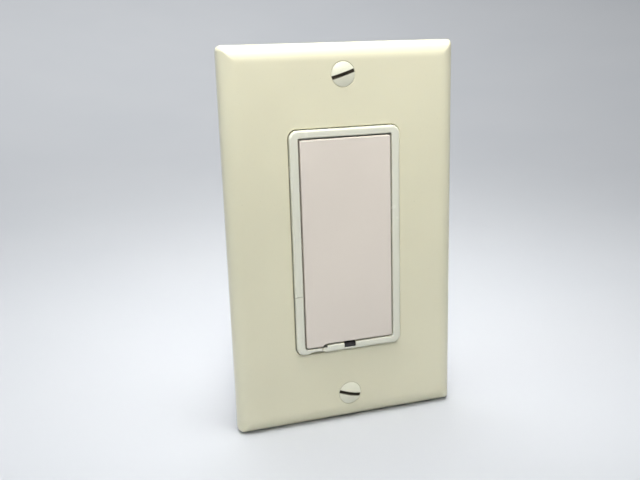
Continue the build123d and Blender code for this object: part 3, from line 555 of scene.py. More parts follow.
plate_colour = srgb(221, 217, 190)
bezel_colour = srgb(219, 219, 203)
paddle_colour = srgb(220, 211, 200)
plate_finish = moulded("ivory_plate", plate_colour, 0.30, 1.5e-6, 16e-6, scatter=0.06, fleck=0.25)
bezel_finish = moulded("pale_bezel", bezel_colour, 0.21, 0.7e-6, 2e-6, scatter=0.06)
paddle_finish = moulded("grained_paddle", paddle_colour, 0.46, 5.0e-6, 3e-6, fleck=0.15)
housing_finish = moulded("black_housing", srgb(38, 38, 40), 0.48, 7.0e-6, 5e-6, fleck=0.0)

# %% [markdown]
# ## Metals
# Metal shows how it was made. Rolled sheet carries fine lines along the roll, turned
# screws carry rings, and plating dulls in clouds. The recipe takes a direction for its
# lines, and a second colour for the dulling.

# %% Metals
def metal(name, colour, dull, gloss, lines, dulling=0.5, depth=1.2e-6):
    """Bare or plated metal. Lines stretch the grain along the axis with the small number."""
    finish = Finish(name, colour, Metallic=1.0, Roughness=gloss)
    streak = finish.noise(900.0, 4.0, lines)
    cloud = finish.step(finish.noise(130.0, 4.0), 0.38, 0.68)
    spot = finish.step(finish.noise(1500.0, 2.0), 0.66, 0.78)
    tone = finish.mix(cloud * dulling, colour, dull)
    tone = finish.mix(spot * 0.35, tone, shade(dull, 0.6))
    finish.set(Base_Color=finish.mix(streak * 0.3, tone, shade(dull, 0.85)))
    finish.set(Roughness=gloss + cloud * 0.16 + streak * 0.10)
    finish.set(Normal=finish.bump(streak * depth + spot * depth, 1.0))
    return finish


zinc_finish = metal("zinc_plate", srgb(205, 205, 200), srgb(160, 158, 150), 0.28, (1.0, 1.0, 1.0))
spring_finish = metal("spring_strip", srgb(185, 186, 190), srgb(140, 140, 142), 0.25, (14.0, 1.0, 1.0))
yoke_finish = metal("rolled_aluminium", srgb(206, 208, 210), srgb(165, 167, 170), 0.36,
                    (12.0, 12.0, 0.35), 0.45, 2.0e-6)
brass_finish = metal("stamped_brass", srgb(214, 178, 102), srgb(150, 112, 60), 0.27, (1.0, 9.0, 1.0), 0.55)
ferrite_finish = metal("pressed_powder", srgb(92, 92, 96), srgb(60, 60, 62), 0.62,
                       (1.0, 1.0, 1.0), 0.6, 6.0e-6)


# %% Painted screws
def painted(name, paint, under):
    """Enamel over zinc. The attribute wear marks rubbed edges; a second attribute marks a slot's floor, which
    gets painted shade.
    """
    finish = Finish(name, paint, Roughness=0.27, IOR=1.5)
    wear = finish.node("ShaderNodeAttribute", {"attribute_name": "wear"}, None, "Fac")
    patch = finish.noise(1400.0, 4.0)
    bare = finish.step(wear + patch * 0.55, 0.86, 1.02)
    slot_shade = finish.node("ShaderNodeAttribute", {"attribute_name": "slot_shade"}, None, "Fac")
    runs = finish.noise(420.0, 3.0)
    coat = finish.mix(bare, finish.mix(runs, shade(paint, 0.96), shade(paint, 1.03)), under)
    # A slot's floor is painted dark brown: painted shade, standing in for the shadow at the bottom of the
    # slot.
    finish.set(Base_Color=finish.mix(finish.step(slot_shade + patch * 0.3, 0.25, 0.85), coat, srgb(58, 50, 36)))
    finish.set(Metallic=bare * (1 - slot_shade))
    finish.set(Roughness=0.25 + runs * 0.12 + bare * 0.12 + slot_shade * 0.3)
    finish.set(Normal=finish.bump(runs * 3e-6 - bare * 6e-6 + patch * 1e-6, 1.0))
    return finish


screw_finish = painted("ivory_enamel", srgb(222, 221, 201), srgb(178, 172, 152))
green_finish = painted("green_enamel", srgb(38, 112, 58), srgb(190, 180, 150))

# %% [markdown]
# ## Hidden parts
# Nobody sees the circuit board until the housing is opened, but a maker still needs to
# tell laminate from card and card from rubber. These finishes are short, and each has
# the one pattern that its material is known by.

# %% Card, laminate, rubber and potting
def grained(name, colour, second, scale, gloss, depth, stretch=(1, 1, 1), **fixed):
    """A dull material with two colours and one grain."""
    finish = Finish(name, colour, **fixed)
    grain = finish.noise(scale, 4.0, stretch)
    large = finish.noise(scale / 12, 3.0)
    finish.set(Base_Color=finish.mix(finish.step(grain * 0.7 + large * 0.3, 0.35, 0.65), colour, second))
    finish.set(Roughness=gloss + grain * 0.14)
    finish.set(Normal=finish.bump(grain * depth, 1.0))
    return finish


card_finish = grained("pressed_fibre", srgb(150, 118, 86), srgb(122, 92, 64), 1600.0, 0.75, 9e-6, (1, 1, 5))
board_finish = grained("green_laminate", srgb(34, 92, 52), srgb(24, 70, 40), 900.0, 0.30, 4e-6)
epoxy_finish = grained("black_potting", srgb(34, 34, 36), srgb(50, 50, 52), 2400.0, 0.50, 5e-6)
rubber_finish = grained("silicone", srgb(196, 196, 190), srgb(180, 180, 176), 700.0, 0.55, 3e-6)
copper_finish = grained("enamelled_copper", srgb(190, 98, 52), srgb(152, 70, 34), 500.0, 0.22, 2e-6,
                        Metallic=0.85)
film_finish = grained("yellow_case", srgb(218, 172, 44), srgb(204, 156, 36), 300.0, 0.26, 3e-6)
varistor_finish = grained("dipped_blue", srgb(34, 66, 140), srgb(26, 52, 116), 380.0, 0.34, 9e-6)
fuse_finish = grained("tan_sleeve", srgb(160, 128, 84), srgb(144, 112, 70), 800.0, 0.32, 3e-6)
solder_finish = metal("solder", srgb(204, 205, 206), srgb(160, 160, 162), 0.24, (1.0, 1.0, 1.0))

# %% Windows and lamp
smoked_finish = grained("smoked_window", srgb(34, 29, 30), srgb(42, 36, 37), 260.0, 0.12, 0.6e-6, IOR=1.49)
pipe_finish = grained("clear_pipe", srgb(236, 240, 242), srgb(226, 232, 236), 200.0, 0.06, 0.8e-6,
                      IOR=1.49, Transmission_Weight=0.85)
led_finish = grained("lamp_epoxy", srgb(206, 226, 212), srgb(190, 214, 198), 500.0, 0.14, 1e-6,
                     IOR=1.5, Transmission_Weight=0.5)
print("finishes:", len(bpy.data.materials))

# %% [markdown]
# ## Cover plate
# A wallplate is one injection moulding with an even wall. Its edge rolls back to the wall
# in a quarter ellipse, so no corner catches a hand. The skin is a closed loft: loops run
# from the rim over the roll, across the face, into the opening and back along the inside.
# The corners of the loops tighten as they come forward, which gives the soft mitre where
# two rolls meet.

# %% Cover plate
plate_depth = -plate_front
plate_rim = 1.5 * MM
plate_roll = 4.8 * MM
plate_wall = 2.0 * MM
plate_corner = 1.6 * MM
opening_half_x = bezel_high.x + 0.25 * MM
opening_half_z = bezel_high.z + 0.25 * MM
opening_corner = 2.65 * MM


def inset_loop(inset, y):
    corner = max(plate_corner - inset, 0.45 * MM)
    return rounded_loop(plate_half_x - inset, plate_half_z - inset, corner, y)


def roll_loops(start, roll, depth, steps=12):
    """The quarter ellipse from the rim to the flat front, at even turns of its angle."""
    loops = []
    for step in range(steps + 1):
        turn = math.radians(90 * step / steps)
        inset = start + roll * (1 - math.cos(turn))
        loops.append(inset_loop(inset, -(plate_rim + (depth - plate_rim) * math.sin(turn))))
    return loops


def opening_loop(grow, y):
    return rounded_loop(opening_half_x + grow, opening_half_z + grow, opening_corner + grow, y)


edge_round = 0.3 * MM
inside_depth = plate_depth - plate_wall
skin = [inset_loop(0.15 * MM, 0.0), inset_loop(0.0, -0.15 * MM)]
skin += roll_loops(0.0, plate_roll, plate_depth)
skin.append(inset_loop(plate_roll + 0.6 * MM, -plate_depth))
skin.append(opening_loop(edge_round + 0.8 * MM, -plate_depth))
for turn in (math.radians(d) for d in range(0, 91, 18)):
    skin.append(opening_loop(edge_round * (1 - math.sin(turn)),
                             -plate_depth + edge_round * (1 - math.cos(turn))))
skin.append(opening_loop(0.0, -inside_depth))
skin.append(opening_loop(1.0 * MM, -inside_depth))
skin += roll_loops(plate_wall, plate_roll - plate_wall / 2, inside_depth, 8)[::-1]
skin.append(inset_loop(plate_wall, 0.0))
cover = loft("cover_plate", skin, closed=True)

boss_profile = [(3.0, 3.8), (3.0, 1.7), (2.85, 1.5), (2.05, 1.5), (1.95, 1.6), (1.95, 3.8), (3.0, 3.8)]
sink_profile = [(0, 7.0), (3.80, 7.0), (3.80, 5.62), (3.70, 5.59), (3.60, 5.53), (3.54, 5.44),
                (1.95, 3.95), (1.95, -1.0), (0, -1.0)]
for side in (1, -1):
    cover = carve(cover, spun("sink", sink_profile, 64, (0, 0, side * plate_screw_z)))

ribs = []
rib_front = -3.7 * MM
rib_back = -2.2 * MM
rib_half = 0.6 * MM
for z in (-25 * MM, 0.0, 25 * MM):
    for side in (1, -1):
        near = side * (opening_half_x + 1.0 * MM)
        far = side * (plate_half_x - plate_wall - 1.0 * MM)
        low, high = sorted((near, far))
        ribs.append(block((low, rib_front, z - rib_half), (high, rib_back, z + rib_half)))
for x in (-12 * MM, 12 * MM):
    for side in (1, -1):
        low, high = sorted((side * (opening_half_z + 1.0 * MM), side * 40 * MM))
        ribs.append(block((x - rib_half, rib_front, low), (x + rib_half, rib_back, high)))
ring = [opening_loop(0.0, rib_front), opening_loop(1.2 * MM, rib_front),
        opening_loop(1.2 * MM, rib_back), opening_loop(0.0, rib_back)]
ribs.append(loft("rib_ring", ring, closed=True))
inside = softened(joined("ribs", ribs), 0.15 * MM)
bosses = [spun("boss", boss_profile, 40, (0, 0, side * plate_screw_z)) for side in (1, -1)]
cover = joined("cover_plate", [cover, inside] + bosses)
piece("cover_plate", cover, plate_finish, "device", "plate_plastic", "wallplate", sharp=40.0)

# %% [markdown]
# ## Screw threads
# A thread is a ridge that climbs by one pitch in each turn. The recipe bends a spiral
# curve, sweeps a small diamond along it, and lets the diamond's inner half sink into the
# shank. All screws here use it, with their own radius and pitch.

# %% Threads
thread_recipe = Recipe("screw_thread", Radius="Float", Ridge="Float", Pitch="Float", Turns="Float")
helix = thread_recipe.node("GeometryNodeCurveSpiral", None, {
    "Resolution": 26,
    "Rotations": thread_recipe.given("Turns"),
    "Start Radius": thread_recipe.given("Radius"),
    "End Radius": thread_recipe.given("Radius"),
    "Height": thread_recipe.given("Turns") * thread_recipe.given("Pitch"),
})
diamond = thread_recipe.node("GeometryNodeCurvePrimitiveCircle", None,
                             {"Resolution": 4, "Radius": thread_recipe.given("Ridge")})
thread_recipe.end(thread_recipe.node("GeometryNodeCurveToMesh", None,
                                     {"Curve": helix, "Profile Curve": diamond, "Fill Caps": True}))


def thread(outer, pitch, back, front):
    """A thread round the Y axis, between two Y positions."""
    ridge = pitch * 0.46
    length = front - back
    made = thread_recipe.make("thread", Radius=outer - ridge, Ridge=ridge, Pitch=pitch,
                              Turns=(length - 2 * ridge) / pitch)
    made.transform(Matrix.Translation((0, front - ridge, 0)) @ Matrix.Rotation(math.radians(90), 4, "X"))
    return made


fine_pitch = 0.794
core_radius = 1.36

# %% [markdown]
# ## Screws
# Every screw is a turned profile with a slot or a cross cut into its head. A second
# recipe then copies one screw onto a set of points, each with its own turn, because a
# person tightening screws never leaves their slots lined up.

# %% Copies on points
copy_recipe = Recipe("copies_on_points", Copy="Object")
one_copy = copy_recipe.node("GeometryNodeObjectInfo", None,
                            {"Object": copy_recipe.given("Copy"), "As Instance": True}, "Geometry")
own_turn = copy_recipe.node("GeometryNodeInputNamedAttribute", {"data_type": "FLOAT_VECTOR"},
                            {"Name": "turn"}, "Attribute")
copy_recipe.end(copy_recipe.node("GeometryNodeInstanceOnPoints", None, {
    "Points": copy_recipe.given("Geometry"),
    "Instance": one_copy,
    "Rotation": own_turn,
}))


def copied(name, mesh, places, turns):
    """Copies of one mesh at several places, each turned by its own angles in degrees."""
    points = bpy.data.meshes.new(name)
    points.from_pydata([tuple(v * MM for v in place) for place in places], [], [])
    turn = points.attributes.new("turn", "FLOAT_VECTOR", "POINT")
    for item, angles in zip(turn.data, turns):
        item.vector = tuple(math.radians(a) for a in angles)
    holder = placed("one_copy", mesh)
    made = copy_recipe.make(name, points=points, Copy=holder)
    drop(holder)
    return made


def screw(profile, slots, slot_depth, head_top, edge):
    """A turned head and shank along Y. Slots are (half width, half length, angle), in mm and degrees."""
    body = spun("screw", profile, 72)
    for half_width, half_length, angle in slots:
        cutter = block((-half_length * MM, -(head_top + 1) * MM, -half_width * MM),
                       (half_length * MM, -(head_top - slot_depth) * MM, half_width * MM))
        cutter.transform(Matrix.Rotation(math.radians(angle), 4, "Y"))
        body = carve(body, cutter)
    return softened(body, edge * MM, 2, 32)


def mark_wear(mesh, slots, slot_depth, head_top, rim_radius, reach=0.30):
    """Writes how rubbed each point of a head is, most on the slot's lips, and where a slot's floor gets
    painted shade.
    """
    wear = mesh.attributes.new("wear", "FLOAT", "POINT")
    # The second attribute marks the points on a slot's floor that get painted shade.
    slot_shade = mesh.attributes.new("slot_shade", "FLOAT", "POINT")
    for item, dark, vertex in zip(wear.data, slot_shade.data, mesh.vertices):
        x, y, z = (v / MM for v in vertex.co)
        rubbed = 0.0
        in_slot = False
        for half_width, half_length, angle in slots:
            turned = z * math.cos(math.radians(angle)) + x * math.sin(math.radians(angle))
            rubbed = max(rubbed, 1 - abs(abs(turned) - half_width) / reach)
            in_slot = in_slot or abs(turned) < half_width + 0.03
        rubbed = max(rubbed, 0.6 - abs(math.hypot(x, z) - rim_radius) / reach)
        floor_level = abs(-y - (head_top - slot_depth)) < 0.12
        dark.value = 1.0 if in_slot and floor_level and math.hypot(x, z) < rim_radius - 0.02 else 0.0
        item.value = max(0.0, rubbed) if -y > head_top - 1.4 and not dark.value else 0.0


def screws(name, profile, slots, slot_depth, head_top, rim_radius, ridge, places, turns, finish, slot,
           cad_node, edge=0.05):
    """One piece with a screw at each place. The ridge is (radius, pitch, back, front) of its thread."""
    one = screw(profile, slots, slot_depth, head_top, edge)
    mark_wear(one, slots, slot_depth, head_top, rim_radius)
    one = joined(name, [one, thread(*(size * MM for size in ridge))])
    piece(name, copied(name, one, places, turns), finish, "device", slot, cad_node, sharp=30.0)


# %% Cover screws
major_radius = 1.75
oval_radius = 3.5
oval_crown = 0.75
oval_reach = 3.42
face = 5.6
oval_top = face + oval_crown
ball = (oval_radius ** 2 + oval_crown ** 2) / (2 * oval_crown)
dome_radii = [r / 20 * oval_reach for r in range(21)]
dome = [(r, face + oval_crown - ball + math.sqrt(ball ** 2 - r ** 2)) for r in dome_radii]
oval_profile = dome + [(3.48, face + 0.0), (3.5, face - 0.08), (3.46, face - 0.16), (1.75, 3.90),
                       (core_radius, 3.55), (core_radius, -5.5), (0.9, -5.98), (0, -5.98)]
cover_z = plate_screw_z / MM
screws("cover_screws", oval_profile, [(0.45, 6.0, 0.0)], 0.95, oval_top, oval_radius,
       (major_radius, fine_pitch, -3.6, 5.6), [(0, 0, cover_z), (0, 0, -cover_z)], [(0, -17, 0), (0, 16, 0)],
       screw_finish, "ivory_screw", "wallplate_screws")

# %% Box screws
wide_slot = [(0.5, 4.5, 0.0)]
box_z = 41.67
pan_profile = [(0, 3.4), (1.8, 3.38), (2.5, 3.28), (2.95, 3.05), (3.15, 2.72), (3.2, 2.35), (3.2, 1.98),
               (3.12, 1.9), (1.4, 1.9), (1.4, -0.3), (core_radius, -0.5), (core_radius, -21.6),
               (0.9, -22.08), (0, -22.08)]
screws("box_screws_detail", pan_profile, wide_slot, 0.7, 3.4, 3.2, (major_radius, fine_pitch, 0.32, 21.9),
       [(0, 0, box_z), (0, 0, -box_z)], [(0, 40, 0), (0, -40, 0)], zinc_finish, "zinc_steel", "box_screws")

# %% Ground screw
# Its head is on the back, so it is modelled facing the front and turned round at the end.
ground_place = (-13.0, 0, -39.0)
ground_profile = [(0, 2.0), (2.2, 2.0), (2.5, 1.86), (2.62, 1.7), (2.62, 0.75), (3.45, 0.62), (3.6, 0.45),
                  (3.6, 0.05), (3.52, 0.0), (1.3, 0.0), (1.3, -1.6), (1.0, -1.98), (0, -1.98)]
screws("ground_screw_detail", ground_profile, wide_slot, 0.7, 2.0, 2.62, (1.74, 0.6, 0.1, 1.9),
       [ground_place], [(0, 30, 180)], green_finish, "green_screw", "ground_screw")
made_screws = [o.name for o in bpy.context.scene.objects if "screw" in o.name and o.name not in nodes]
print("screws so far:", made_screws)

# %% [markdown]
# ## Screws at the back and sides
# The four housing screws have a cross recess and sit in deep counterbores. The terminal
# screws have a wide flat head, because it has to press a clamp. Their heads face
# sideways, so each copy gets a quarter turn first and its own small turn after that.

# %% Housing screws
back_radius = 2.2
back_seat = 28.5
back_profile = [(0, 1.9), (1.1, 1.88), (1.6, 1.76), (2.0, 1.4), (back_radius, 0.95), (back_radius, 0.1),
                (2.14, 0.0), (0.9, 0.0), (0.9, -29.3), (0.6, -29.78), (0, -29.78)]
cross = [(0.3, 1.35, 0.0), (0.3, 1.35, 90.0)]
back_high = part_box("housing_screws")[1]
back_x = back_high.x / MM - back_radius
back_z = back_high.z / MM - back_radius
corners = [(sx * back_x, back_seat, sz * back_z) for sx in (1, -1) for sz in (1, -1)]
screws("housing_screws_detail", back_profile, cross, 0.9, 1.9, back_radius, (1.2, 0.7, 0.2, 29.4), corners,
       [(0, angle, 180) for angle in (20, 55, -32, 71)], zinc_finish, "zinc_steel", "housing_screws", 0.035)

# %% Terminal screws
term_radius = 3.4
term_head = 1.9
term_profile = [(0, 1.9), (2.6, 1.9), (3.05, 1.82), (3.3, 1.62), (3.4, 1.3), (3.4, 0.15), (3.3, 0.0),
                (core_radius, 0.0), (core_radius, -4.7), (1.0, -4.98), (0, -4.98)]
_, term_high, term_mid = middle_of("terminal_screws")
term_z = term_high.z / MM - term_radius
term_x = term_high.x / MM - term_head
sites = [(sx * term_x, term_mid.y / MM, sz * term_z) for sx in (1, -1) for sz in (1, -1)]
turns = [(0, angle, math.copysign(90, site[0])) for angle, site in zip((25, -40, 12, 63), sites)]
screws("terminal_screws_detail", term_profile, [(0.5, 4.6, 0.0)], 0.8, term_head, term_radius,
       (major_radius, fine_pitch, 0.25, 4.8), sites, turns, brass_finish, "brass", "terminal_screws")

# %% [markdown]
# ## Wound choke
# The choke takes the buzz out of a dimmed lamp. It is a ring of pressed iron powder with
# enamelled wire wound round it in two banks. A tree bends a straight curve into that
# path: the angle round the ring moves on slowly while the wire goes round the ring's
# section many times. A power of the sine squares the section off, as tight wire does.

# %% Choke winding
choke_low, choke_high, choke_centre = middle_of("choke_winding")
choke_reach = (choke_high.x - choke_low.x) / 2
wire_radius = 0.42 * MM
ring_radius = 7.9 * MM
winding = Recipe("toroid_winding", Turns="Float", Start="Float", Sweep="Float", Ring="Float",
                 Half_width="Float", Half_height="Float", Wire="Float")
straight = winding.node("GeometryNodeCurvePrimitiveLine", None, {"End": (0.0, 0.0, 1.0)})
fine = winding.node("GeometryNodeResampleCurve", None, {"Curve": straight, "Count": 460})
along = winding.node("GeometryNodeSplineParameter", None, None, "Factor")


def wave(operation, angle):
    return winding.node("ShaderNodeMath", {"operation": operation}, {0: angle})


def squared(value):
    """The value with its size raised to a small power, which fills out a round section."""
    return wave("SIGN", value) * abs(value) ** 0.45


turned = along * winding.given("Turns") * (2 * math.pi)
across = squared(wave("COSINE", turned))
upward = squared(wave("SINE", turned))
around = winding.given("Start") + along * winding.given("Sweep")
from_axis = winding.given("Ring") + across * winding.given("Half_width")
place = winding.node("ShaderNodeCombineXYZ", None, {
    0: from_axis * wave("COSINE", around),
    1: upward * winding.given("Half_height"),
    2: from_axis * wave("SINE", around),
})
bent = winding.node("GeometryNodeSetPosition", None, {"Geometry": fine, "Position": place})
round_wire = winding.node("GeometryNodeCurvePrimitiveCircle", None,
                          {"Resolution": 10, "Radius": winding.given("Wire")})
winding.end(winding.node("GeometryNodeCurveToMesh", None,
                         {"Curve": bent, "Profile Curve": round_wire, "Fill Caps": True}))
banks = []
for start in (-72.0, 108.0):
    bank = winding.make("bank", Turns=17.0, Start=math.radians(start), Sweep=math.radians(144.0),
                        Ring=ring_radius, Half_width=choke_reach - wire_radius - ring_radius,
                        Half_height=4.77 * MM, Wire=wire_radius)
    bank.transform(Matrix.Translation(choke_centre))
    banks.append(bank)
piece("choke_wire", joined("choke_wire", banks), copper_finish, "device", "enamelled_copper", "choke_winding")

# %% [markdown]
# ## Parts on the board
# Capacitor, key domes and resistors are small enough that a simple shape would pass, but
# a person who opens the model will look closely. The can is crimped over its seal and
# scored to vent, the domes have a thin skirt, and each resistor has tinned ends.

# %% Capacitor
can_low, can_high, can_mid = middle_of("supply_capacitor")
can_profile = [(0, 0.0), (3.2, 0.0), (3.65, 0.08), (3.95, 0.4), (4.0, 0.8), (4.0, 1.4), (3.9, 1.62),
               (3.62, 1.85), (3.58, 2.0), (3.62, 2.15), (3.9, 2.38), (4.0, 2.6), (4.0, 11.2), (3.93, 11.6),
               (3.7, 11.88), (3.35, 12.0), (3.1, 11.94), (3.02, 11.86), (0, 11.86)]
can_profile_radius = 4.0
scale = (can_high.x - can_low.x) / 2 / can_profile_radius
can = lathe("can", [(r * scale, -h * MM) for r, h in can_profile], 56, "Y")
for angle in (0, 60, 120):
    groove = block((-2.2 * MM, 11.70 * MM, -0.09 * MM), (2.2 * MM, 12.4 * MM, 0.09 * MM))
    groove.transform(Matrix.Rotation(math.radians(angle), 4, "Y"))
    can = carve(can, groove)
can.transform(Matrix.Translation((can_mid.x, can_low.y, can_mid.z)))
can_finish = grained("capacitor_can", srgb(30, 32, 44), srgb(42, 44, 58), 300.0, 0.28, 3e-6)
can_top = can_finish.step(can_finish.axis("Y"), can_high.y - 0.35 * MM, can_high.y - 0.15 * MM)
can_colour = can_finish.mix(can_top, srgb(32, 34, 46), srgb(190, 192, 194))
can_finish.set(Metallic=can_top, Base_Color=can_colour)
piece("capacitor_can", can, can_finish, "device", "black_epoxy", "supply_capacitor", sharp=30.0)

# %% Key domes
dome_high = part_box("key_domes")[1]
dome_z = dome_high.z / MM - 1.7
dome_profile = [(0, 1.0), (0.62, 1.0), (0.86, 0.96), (0.98, 0.84), (1.02, 0.62), (1.14, 0.4), (1.36, 0.2),
                (1.6, 0.1), (1.7, 0.04), (1.7, 0.0), (0, 0.0)]
dome_base = dome_high.y / MM
dome_mesh = copied("rubber_domes", spun("dome", dome_profile, 40),
                   [(0, dome_base, dome_z), (0, dome_base, -dome_z)], [(0, 0, 0)] * 2)
rubber_domes = piece("rubber_domes", dome_mesh, rubber_finish, "device", "silicone", "key_domes", sharp=50.0)
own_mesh(rubber_domes)

# %% Resistors
chip_low, _, chip_mid = middle_of("resistors")
chip_half = 0.8
chip_pitch = 2.4
end_middle = 1.35
chip_body = softened(block((-0.74 * MM, 0.05 * MM, -1.2 * MM), (0.74 * MM, 0.57 * MM, 1.2 * MM)), 0.04 * MM)
caps = [softened(block((-chip_half * MM, 0.0, (side * end_middle - 0.25) * MM),
                       (chip_half * MM, 0.6 * MM, (side * end_middle + 0.25) * MM)), 0.07 * MM)
        for side in (1, -1)]
chip = joined("chip", [chip_body] + caps)
chip_places = [(chip_low.x / MM + chip_half + chip_pitch * i, chip_low.y / MM, chip_mid.z / MM)
               for i in range(4)]
chip_mesh = copied("chip_resistors", chip, chip_places, [(0, 0, 0)] * 4)
chip_finish = grained("chip_ends", srgb(30, 30, 32), srgb(44, 44, 46), 1500.0, 0.34, 2e-6)
chip_end = chip_finish.step(abs(chip_finish.axis("Z") - chip_mid.z), 1.12 * MM, 1.22 * MM)
chip_colour = chip_finish.mix(chip_end, srgb(30, 30, 32), srgb(205, 206, 206))
chip_finish.set(Metallic=chip_end, Base_Color=chip_colour)
piece("chip_resistors", chip_mesh, chip_finish, "device", "black_epoxy", "resistors")

# %% [markdown]
# ## Solder
# Each lead that passes through the board ends in a small cone of solder on the front
# side. The tree draws one cone per point, with a seeded random size, because no
# two joints are the same.

# %% Solder joints
solder_recipe = Recipe("solder_joints", Copy="Object", Small="Float", Large="Float", Seed="Int")
one_joint = solder_recipe.node("GeometryNodeObjectInfo", None,
                               {"Object": solder_recipe.given("Copy"), "As Instance": True}, "Geometry")
joint_size = solder_recipe.node("FunctionNodeRandomValue", None, {"Seed": solder_recipe.given("Seed")}, 1)
size_of = solder_recipe.node("ShaderNodeMapRange", None, {
    "Value": joint_size, "To Min": solder_recipe.given("Small"), "To Max": solder_recipe.given("Large")})
solder_recipe.end(solder_recipe.node("GeometryNodeInstanceOnPoints", None, {
    "Points": solder_recipe.given("Geometry"), "Instance": one_joint, "Scale": size_of}))
board_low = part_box("circuit_board")[0]
cone_profile = [(0, 0.62), (0.2, 0.6), (0.27, 0.5), (0.3, 0.36), (0.4, 0.2), (0.56, 0.08), (0.74, 0.02),
                (0.76, 0.0), (0, 0.0)]
cone = spun("cone", cone_profile, 16)
leads = [(-7.0, -24.5), (-5.0, -19.5), (-6.5, -13.3), (6.5, -13.3), (4.9, -22.5), (4.9, -17.5),
         (-3.4, -27.2), (5.2, -27.2), (0.8, 4.6), (3.2, 4.6), (-1.2, 24.4), (1.4, 24.4), (5.5, -9.0),
         (8.0, -9.4), (10.5, -9.0)]
lead_points = bpy.data.meshes.new("leads")
lead_points.from_pydata([(x * MM, board_low.y + 0.02 * MM, z * MM) for x, z in leads], [], [])
cone_holder = placed("one_cone", cone)
solder_mesh = solder_recipe.make("solder_joints", points=lead_points, Copy=cone_holder,
                                 Small=0.85, Large=1.2, Seed=4)
drop(cone_holder)
piece("solder_joints", solder_mesh, solder_finish, "device", "zinc_steel", sharp=50.0)

# %% [markdown]
# ## Potted and dipped parts
# A film capacitor is a moulded shell filled with resin, so its open end shows a sunken
# meniscus inside a thin lip. A varistor is a disc dipped in paint that has run down its
# leads. A fuse link is a sleeve with crimped end caps. Each is a short loft or lathe.

# %% Film capacitor
film_low, film_high, film_mid = middle_of("film_capacitor")
film_half = (film_high - film_low) / 2
film_roll = 1.0 * MM


def film_loop(shrink, corner, y):
    loop = rounded_loop(film_half.x - shrink, film_half.z - shrink, corner, y)
    return [point + Vector((film_mid.x, 0, film_mid.z)) for point in loop]


film_skin = [film_loop(shrink * MM, corner * MM, film_low.y + rise * MM)
             for shrink, corner, rise in ((0.75, 0.5, 0.25), (0.6, 0.6, 0), (0.12, 0.9, 0), (0, 1.0, 0.15))]
for turn in (math.radians(d) for d in range(0, 91, 15)):
    inward = film_roll * (1 - math.cos(turn))
    film_skin.append(film_loop(inward, film_roll - 0.7 * inward,
                               film_high.y - film_roll * (1 - math.sin(turn))))
piece("film_block", loft("film_block", film_skin), film_finish, "device", "film_case", "film_capacitor")

# %% Varistor
var_low, var_high, var_mid = middle_of("varistor")
disc_radius = 5.0
lead_spread = 2.5
var_half = (var_high.x - var_low.x) / 2 / MM
bulge = [(0, 0.82), (2.6, 0.86), (3.8, 0.98), (4.3, 1), (4.65, 0.9), (4.9, 0.6)]
disc_profile = [(r, var_half * share) for r, share in bulge] + [(disc_radius, 0.15), (disc_radius, -0.15)]
disc_profile += [(r, -var_half * share) for r, share in bulge[::-1]]
disc = lathe("disc", [(r * MM, h * MM) for r, h in disc_profile], 72)
disc.transform(Matrix.Translation((var_mid.x, var_high.y - disc_radius * MM, var_mid.z))
               @ Matrix.Rotation(math.radians(90), 4, "Y"))
lead_profile = [(0, 0.0), (0.3, 0.0), (0.3, -1.2), (0.34, -1.5), (0.55, -2.0), (0.85, -2.8), (1.1, -3.4),
                (0, -3.4)]
legs = [spun("leg", lead_profile, 20, (var_mid.x, var_low.y, var_mid.z + side * lead_spread * MM))
        for side in (1, -1)]
dipped = joined("dipped_varistor", [disc] + legs)
bare_lead = varistor_finish.step(varistor_finish.axis("Y"), var_low.y + 1.5 * MM, var_low.y + 1.0 * MM)
blue = varistor_finish.mix(varistor_finish.noise(380.0, 4.0), srgb(34, 66, 140), srgb(24, 48, 110))
varistor_finish.set(Metallic=bare_lead,
                    Base_Color=varistor_finish.mix(bare_lead, blue, srgb(198, 199, 200)))
piece("dipped_varistor", dipped, varistor_finish, "device", "varistor_coat", "varistor")

# %% Fuse
fuse_low, fuse_high, fuse_mid = middle_of("fuse")
fuse_radius = 1.8
fuse_lead = 5.6
half_sleeve = [(0, 6.3), (0.4, 6.3), (0.4, 5.2), (1.45, 5.15), (1.7, 5.0), (1.8, 4.7), (1.8, 3.6),
               (1.62, 3.5)]
sleeve = [(r, -h) for r, h in half_sleeve] + half_sleeve[::-1]
link = lathe("link", [(r * MM, h * MM) for r, h in sleeve], 48)
link.transform(Matrix.Translation((fuse_mid.x, fuse_high.y - fuse_radius * MM, fuse_mid.z))
               @ Matrix.Rotation(math.radians(90), 4, "Y"))
fuse_legs = [spun("fuse_leg", [(0, 0), (0.3, 0), (0.3, -2.1), (0.2, -2.35), (0, -2.4)], 16,
                  (fuse_mid.x + side * fuse_lead * MM, fuse_low.y, fuse_mid.z)) for side in (1, -1)]
cap_mask = fuse_finish.step(abs(fuse_finish.axis("X") - fuse_mid.x), 3.5 * MM, 3.6 * MM)
tan = fuse_finish.mix(fuse_finish.noise(800.0, 3.0), srgb(160, 128, 84), srgb(140, 108, 68))
fuse_finish.set(Metallic=cap_mask, Base_Color=fuse_finish.mix(cap_mask, tan, srgb(200, 200, 198)))
fuse_mesh = joined("fuse_link", [link] + fuse_legs)
piece("fuse_link", fuse_mesh, fuse_finish, "device", "fuse_body", "fuse", sharp=40.0)

# %% [markdown]
# ## Chips
# Moulded chips have sides that taper from a mould line, a dimple that marks one corner,
# and legs that bend down to the board in a flat S, in a row along each side.

